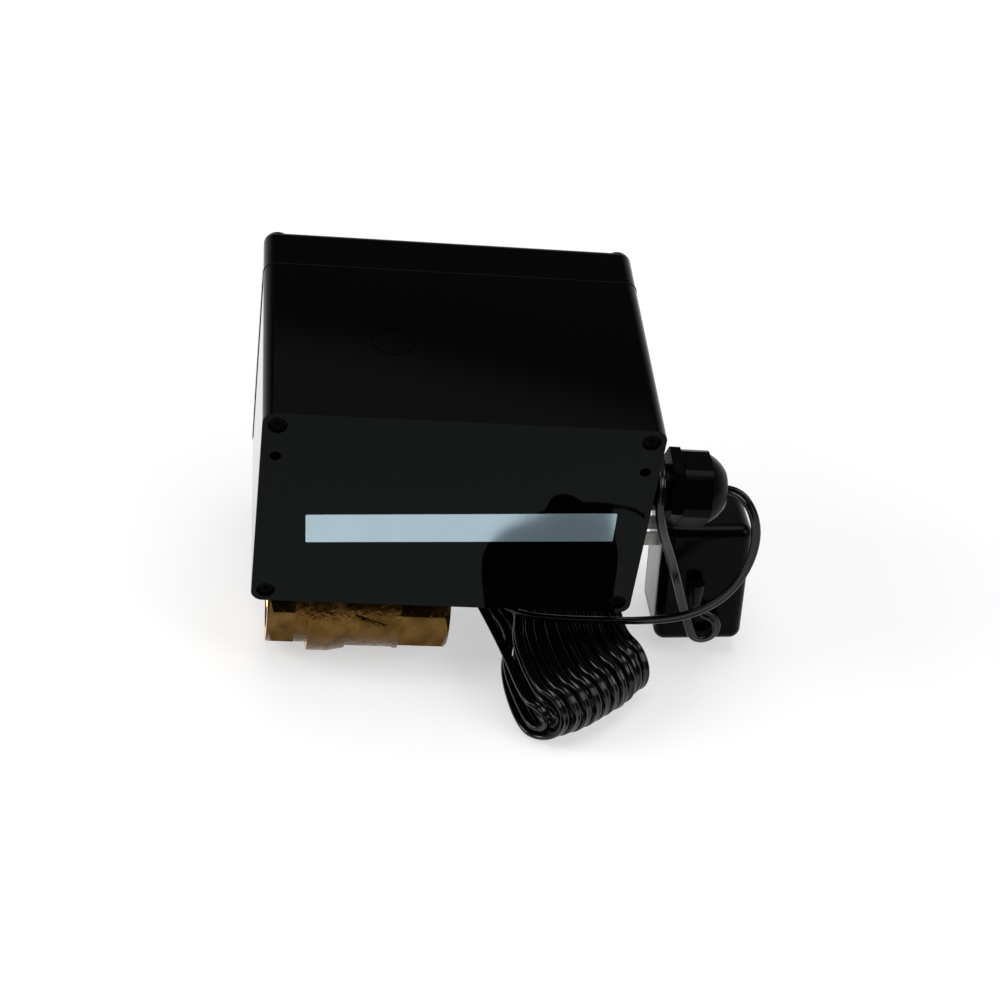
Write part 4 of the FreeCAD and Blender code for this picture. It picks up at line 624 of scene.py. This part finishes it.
relief(turned_brass, pattern(turned_brass, "Wave", 900, (0, 0, 1)), 0.00003)
dress(turned_brass, "packing_nut", "bonnet_locknut")
ball_chrome = finish("ball_chrome", (0.8, 0.81, 0.83), 0.08, metallic=1.0)
spread(ball_chrome, pattern(ball_chrome, "Noise", 300), 0.05, 0.14, "Roughness")
dress(ball_chrome, "ball")
ptfe = finish("ptfe", (0.86, 0.86, 0.84), 0.5, specular=0.3)
relief(ptfe, pattern(ptfe, "Noise", 900), 0.00003)
dress(ptfe, "ball_seats", "stem_packing")
turned_steel = finish("turned_steel", (0.62, 0.62, 0.63), 0.25, metallic=1.0)
spread(turned_steel, pattern(turned_steel, "Noise", 700, (1, 1, 8)), 0.18, 0.36, "Roughness")
dress(turned_steel, "valve_stem", "stem_coupler", "coupler_pin", "drive_shaft", "idler_arbor",
      "motor_pinion", "closed_switch_lever", "open_switch_lever", "board_standoffs", "interval_spindle",
      "duration_spindle")
THREAD_PITCH = 2.309 * MM
THREAD_ROOT = 15.12 * MM
THREAD_DEPTH = 1.2 * MM


def pipe_thread(name, start, end):
    """
    The thread in a mouth of the valve: radius = root - depth * wave, where the wave is a blunted triangle of
    length / pitch - turn, which fades out at both ends of the thread.
    """
    along = np.linspace(start, end, 113)[:, None]
    turn = np.linspace(0, 2 * math.pi, 65)[None, :-1]
    phase = (along / THREAD_PITCH - turn / (2 * math.pi)) % 1
    fade = np.clip(np.minimum(along - along.min(), along.max() - along) / THREAD_PITCH * 1.4, 0, 1)
    radius = THREAD_ROOT - THREAD_DEPTH * fade * np.clip(1.15 - np.abs(phase - 0.5) * 2.6, 0, 1)
    points = np.stack(np.broadcast_arrays(along, radius * np.cos(turn), radius * np.sin(turn)), axis=-1)
    piece = grid_mesh(name, points[:, ::-1])
    piece.data.materials.append(turned_brass)
    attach(piece, "assembly")


pipe_thread("inlet_thread", 0.6 * MM, 16.8 * MM)
pipe_thread("outlet_thread", 61.7 * MM, 77.9 * MM)


def cast_mark(name, radius, outline, rise):
    """
    A raised mark cast on a round body: its outline's length runs along the body and its width round it, at
    radius + rise, with sides that slope down into the casting. Each level is the outline at a share of its
    size and at its own height.
    """
    outline = np.asarray(outline)
    middle = outline.mean(axis=0)
    levels = np.array(((1.12, -0.3 * MM), (1.08, 0.05 * MM), (0.94, rise), (0.6, rise), (0.02, rise)))
    spots = middle + (outline - middle)[None] * levels[:, 0, None, None]
    reach = (radius + levels[:, 1])[:, None]
    turn = spots[..., 1] / radius
    points = np.stack((spots[..., 0], -reach * np.cos(turn), reach * np.sin(turn)), axis=-1)
    piece = grid_mesh(name, points, caps=True)
    piece.data.materials.append(cast_brass)
    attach(piece, "assembly")


BODY_RADIUS = 21.5 * MM
arrow = rounded_corners(np.array(((37.5, 1.2), (51, 3.6), (37.5, 8.2))) * MM, 0.5 * MM)
cast_mark("flow_arrow", BODY_RADIUS, arrow, 1 * MM)

# Drive frame and gear train: zinc-plated steel plates and legs screwed to the housing's floor, with bronze
# bushes, acetal gears and cam, and black moulded cases.
plated_steel = finish("plated_steel", (0.6, 0.6, 0.58), 0.35, metallic=1.0)
spread(plated_steel, pattern(plated_steel, "Voronoi", 130), (0.5, 0.5, 0.48), (0.7, 0.7, 0.67), "Base Color")
spread(plated_steel, pattern(plated_steel, "Noise", 400, (1, 12, 1)), 0.28, 0.48, "Roughness")
dress(plated_steel, "mounting_plate", "lower_plate", "upper_plate", "frame_legs", "frame_pillars",
      "small_screws", "motor_can")
bush_bronze = finish("bush_bronze", (0.5, 0.3, 0.13), 0.42, metallic=1.0)
relief(bush_bronze, pattern(bush_bronze, "Noise", 2500), 0.00004)
dress(bush_bronze, "shaft_bushes")
gear_acetal = finish("gear_acetal", (0.78, 0.76, 0.7), 0.4, specular=0.4)
spread(gear_acetal, pattern(gear_acetal, "Noise", 200), 0.32, 0.48, "Roughness")
dress(gear_acetal, "output_gear", "idler_gear", "limit_cam")
case_black = finish("case_black", (0.02, 0.02, 0.022), 0.5)
relief(case_black, pattern(case_black, "Noise", 1800), 0.00003)
dress(case_black, "gearhead_case", "limit_switches", "potentiometers", "test_switch")

# Circuit board: green glass-fibre board with a blue relay and terminal block. On its inner face stand two
# capacitors, a row of resistors and a control chip, soldered in by hand.
board_green = finish("board_green", (0.015, 0.14, 0.05), 0.3)
spread(board_green, pattern(board_green, "Voronoi", 160), (0.012, 0.11, 0.04), (0.02, 0.16, 0.06),
       "Base Color")
relief(board_green, pattern(board_green, "Wave", 300, (1, 0, 1)), 0.00003)
dress(board_green, "circuit_board")
relay_blue = finish("relay_blue", (0.03, 0.09, 0.35), 0.38)
relief(relay_blue, pattern(relay_blue, "Noise", 1400), 0.00003)
dress(relay_blue, "relay", "terminal_block")
dress(cord_pvc, "inner_lead")
BOARD_INNER = 78


def board_parts(name, profile, places, way, made):
    """Turned parts side by side: each radius of the profile makes a ring at its length along the way."""
    profile, places = np.array(profile) * MM, np.array(places) * MM
    turn = np.arange(16) * math.pi / 8
    way = np.asarray(way, float)
    aside = np.array((way[1], way[2], way[0]))
    third = np.cross(way, aside)
    rings = (way * profile[:, 1, None])[:, None] + profile[:, 0, None, None] * (
        aside * np.cos(turn)[:, None] + third * np.sin(turn)[:, None])
    joined = bmesh.new()
    for place in places:
        one = grid_mesh(name, rings + place, caps=True)
        joined.from_mesh(one.data)
        bpy.data.objects.remove(one)
    mesh = bpy.data.meshes.new(name)
    joined.to_mesh(mesh)
    joined.free()
    piece = bpy.data.objects.new(name, mesh)
    bpy.context.collection.objects.link(piece)
    piece.data.materials.append(made)
    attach(piece, "assembly")


can_sleeve = finish("can_sleeve", (0.012, 0.03, 0.09), 0.3)
relief(can_sleeve, pattern(can_sleeve, "Noise", 1200), 0.00003)
resistor_lacquer = finish("resistor_lacquer", (0.45, 0.3, 0.16), 0.35)
spread(resistor_lacquer, pattern(resistor_lacquer, "Wave", 480, (1, 0, 0)), (0.5, 0.34, 0.18),
       (0.16, 0.05, 0.02), "Base Color", 0.86, 0.9)
can_profile = ((3.4, 0), (4, 0.4), (4, 1.6), (3.8, 2), (4, 2.4), (4, 10.5), (3.5, 11))
board_parts("capacitors", can_profile, [(x, BOARD_INNER, 90) for x in (70, 80.5)], (0, -1, 0), can_sleeve)
resistor_profile = ((0.3, 0), (0.3, 1.5), (0.9, 1.6), (1.25, 2.1), (1.25, 3), (1, 3.4), (1, 5.6), (1.25, 6),
                    (1.25, 6.9), (0.9, 7.4), (0.3, 7.5), (0.3, 9))
resistor_places = [(x, BOARD_INNER - 1.4, z) for x in (62, 74) for z in (54, 58, 62, 66, 70)]
board_parts("resistors", resistor_profile, resistor_places, (1, 0, 0), resistor_lacquer)
chip_outline = rounded_corners(rectangle(-10, 10, -3.2, 3.2), 0.3, 2)
chip_levels = np.array(((0.97, 0.4), (1, 0.9), (1, 3.1), (0.97, 3.5)))
chip_flat = chip_outline[None] * chip_levels[:, 0, None, None]
chip_high = np.broadcast_to(chip_levels[:, 1, None, None], (*chip_flat.shape[:2], 1))
chip = grid_mesh("control_chip", np.concatenate((chip_flat, chip_high), axis=2) * MM, caps=True)
chip.data.transform(Matrix(((-1, 0, 0, 0.1), (0, 0, -1, BOARD_INNER * MM), (0, -1, 0, 0.074), (0, 0, 0, 1))))
chip.data.materials.append(case_black)
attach(chip, "assembly")

# Status lamps: two tinted resin domes, soldered to the board, which look through the cover. As seen from the
# front, the left one is green and the right one red.
lamp_lens = finish("lamp_lens", (0.5, 0.04, 0.03), 0.1)
lamp_nodes, lamp_links = lamp_lens.node_tree.nodes, lamp_lens.node_tree.links
lamp_place = lamp_nodes.new("ShaderNodeTexCoord")
lamp_axes = lamp_nodes.new("ShaderNodeSeparateXYZ")
lamp_links.new(lamp_place.outputs["Object"], lamp_axes.inputs[0])
spread(lamp_lens, lamp_axes.outputs["X"], (0.6, 0.03, 0.02), (0.03, 0.4, 0.06), "Base Color", 0.071, 0.073)
spread(lamp_lens, pattern(lamp_lens, "Noise", 400), 0.06, 0.16, "Roughness")
dress(lamp_lens, "status_leds")

# Knobs and test button: matt moulded plastic with a fine grain. Each knob is pushed on its spindle and has
# a white line in its groove. The button is red and worn smooth.
knob_plastic = finish("knob_plastic", (0.012, 0.012, 0.013), 0.42, specular=0.4)
relief(knob_plastic, pattern(knob_plastic, "Noise", 2600), 0.00005)
dress(knob_plastic, "interval_knob", "duration_knob")
button_red = finish("button_red", (0.5, 0.03, 0.02), 0.28)
spread(button_red, pattern(button_red, "Noise", 300), 0.2, 0.36, "Roughness")
dress(button_red, "test_button")
white_print = finish("white_print", (0.75, 0.75, 0.73), 0.5)
spread(white_print, pattern(white_print, "Noise", 700), (0.68, 0.68, 0.66), (0.8, 0.8, 0.78), "Base Color")
FRONT_PLANE = Matrix(((-1, 0, 0, 0), (0, 0, 1, 0), (0, 1, 0, 0), (0, 0, 0, 1)))
KNOBS = (("interval", 42), ("duration", 102))
KNOB_Z = 84
pointer_place = Matrix.Translation((0, 0.1071, 0)) @ FRONT_PLANE
for control, knob_x in KNOBS:
    line = rectangle(-knob_x - 0.55, -knob_x + 0.55, KNOB_Z + 1.7, KNOB_Z + 9.2)
    line = rounded_corners(np.array(line) * MM, 0.4 * MM)
    pointer = flat_sheet(control + "_pointer", [line], 0.9 * MM, pointer_place)
    pointer.data.materials.append(white_print)
    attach(pointer, control + "_control")

# Button spring: four turns of stainless wire, wound round the test switch and held between the board and
# the button's flange. The button's travel squeezes the real spring; this coil is drawn at one length.
WIRE_RADIUS = 0.25 * MM
SPRING_TURNS = 4
spring_low, spring_high = (np.array(corner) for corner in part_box("button_spring"))
spring_middle = (spring_low + spring_high) / 2
spring_length = spring_high[1] - spring_low[1]
spring_radius = (spring_high[0] - spring_low[0]) / 2 - WIRE_RADIUS
spring_turn = np.linspace(0, 2 * math.pi * SPRING_TURNS, 24 * SPRING_TURNS + 1)[:, None]
wire_turn = (np.arange(8) * math.pi / 4)[None, :]
wire_reach = spring_radius + WIRE_RADIUS * np.cos(wire_turn)
spring_climb = (spring_length - 2 * WIRE_RADIUS) * spring_turn / spring_turn[-1]
spring_points = np.stack((spring_middle[0] + wire_reach * np.cos(spring_turn),
                          spring_low[1] + WIRE_RADIUS + spring_climb + WIRE_RADIUS * np.sin(wire_turn),
                          spring_middle[2] + wire_reach * np.sin(spring_turn)), axis=-1)
spring = grid_mesh("button_coil", spring_points, caps=True)
spring_steel = finish("spring_steel", (0.62, 0.62, 0.63), 0.25, metallic=1.0)
spread(spring_steel, pattern(spring_steel, "Noise", 900), 0.18, 0.34, "Roughness")
spring.data.materials.append(spring_steel)
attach(spring, "assembly")
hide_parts("button_spring")
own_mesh(spring)

# Front film: a grey printed polyester sheet, stuck on the cover, with an opening for each control. White
# marks and numbers from 0 to 10 run round each knob over 270 degrees. Places on it are in millimetres.
FILM_PLACE = Matrix.Translation((0, 0.0941, 0)) @ FRONT_PLANE
PRINT_PLACE = Matrix.Translation((0, 0.09423, 0)) @ FRONT_PLANE
BUTTON = (72, 60)
STATUS_LAMPS = ((64, 98), (80, 98))
SCALE_STEPS = 10
SCALE_REACH = 12.6
LONG_MARK = (15.2, 0.3)
SHORT_MARK = (14.2, 0.18)
NUMBER_REACH = 18
film_grey = finish("film_grey", (0.05, 0.055, 0.06), 0.45, specular=0.4)
relief(film_grey, pattern(film_grey, "Noise", 1800), 0.00003)
ring_turn = np.linspace(0, 2 * math.pi, 65)[:-1]


def ring(x, z, radius):
    """A round outline on the front, as seen from outside."""
    return np.column_stack((-x + radius * np.cos(ring_turn), z + radius * np.sin(ring_turn))) * MM


def scale_way(step):
    """The way from a knob's middle to a step of its scale, which starts at the lower left."""
    tilt = math.radians(135 - 270 / SCALE_STEPS * step)
    return np.array((-math.sin(tilt), math.cos(tilt)))


film_edge = rounded_corners(np.array(rectangle(-140, -4, 44, 116)) * MM, 3 * MM)
openings = [ring(x, KNOB_Z, 4.6) for _, x in KNOBS] + [ring(*BUTTON, 5.4)] + [
    ring(x, z, 2.1) for x, z in STATUS_LAMPS]
film = flat_sheet("front_film", [film_edge] + openings, 0.2 * MM, FILM_PLACE)
film.data.materials.append(film_grey)
marks = []
numbers = []
for _, knob_x in KNOBS:
    middle = np.array((-knob_x, KNOB_Z))
    for step in range(SCALE_STEPS + 1):
        way = scale_way(step)
        across = np.array((way[1], -way[0]))
        stop, half = LONG_MARK if step % 2 == 0 else SHORT_MARK
        start = middle + way * SCALE_REACH
        stop = middle + way * stop
        mark = (start - across * half, start + across * half, stop + across * half, stop - across * half)
        marks.append(np.array(mark) * MM)
        if step % 2 == 0:
            numbers.append((str(step), middle + way * NUMBER_REACH, 3.6))
button_ring = [ring(*BUTTON, 7.4), ring(*BUTTON, 7)]
scale_lines = flat_sheet("scale_lines", marks + button_ring, 0.06 * MM, PRINT_PLACE)
scale_lines.data.materials.append(white_print)
words = numbers + [("TEST", (-72, 49.4), 3.4), ("ON", (-64, 91.6), 3), ("OPEN", (-80, 91.6), 3)]
lettering = bmesh.new()
for text, (across, up), size in words:
    letters = bpy.data.curves.new("letters", "FONT")
    letters.body = text
    letters.size = size * MM
    letters.extrude = 0.03 * MM
    letters.align_x = "CENTER"
    letters.align_y = "CENTER"
    holder = bpy.data.objects.new("letters", letters)
    mesh = bpy.data.meshes.new_from_object(holder)
    bpy.data.objects.remove(holder)
    mesh.transform(PRINT_PLACE @ Matrix.Translation((across * MM, up * MM, 0)))
    lettering.from_mesh(mesh)
    bpy.data.meshes.remove(mesh)
scale_mesh = bpy.data.meshes.new("scale_numbers")
lettering.to_mesh(scale_mesh)
lettering.free()
scale_numbers = bpy.data.objects.new("scale_numbers", scale_mesh)
bpy.context.collection.objects.link(scale_numbers)
scale_numbers.data.materials.append(white_print)
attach(scale_numbers, "assembly")

# Cable gland: body, locknut and dome nut of moulded black nylon, a little less glossy than the housing. The
# dome nut presses the rubber seal on the cord.
gland_nylon = finish("gland_nylon", (0.0012, 0.0012, 0.0015), 0.2, specular=0.045)
spread(gland_nylon, pattern(gland_nylon, "Noise", 150), 0.14, 0.26, "Roughness")
relief(gland_nylon, pattern(gland_nylon, "Noise", 1600), 0.00002)
dress(gland_nylon, "gland_body", "gland_locknut", "gland_dome_nut")
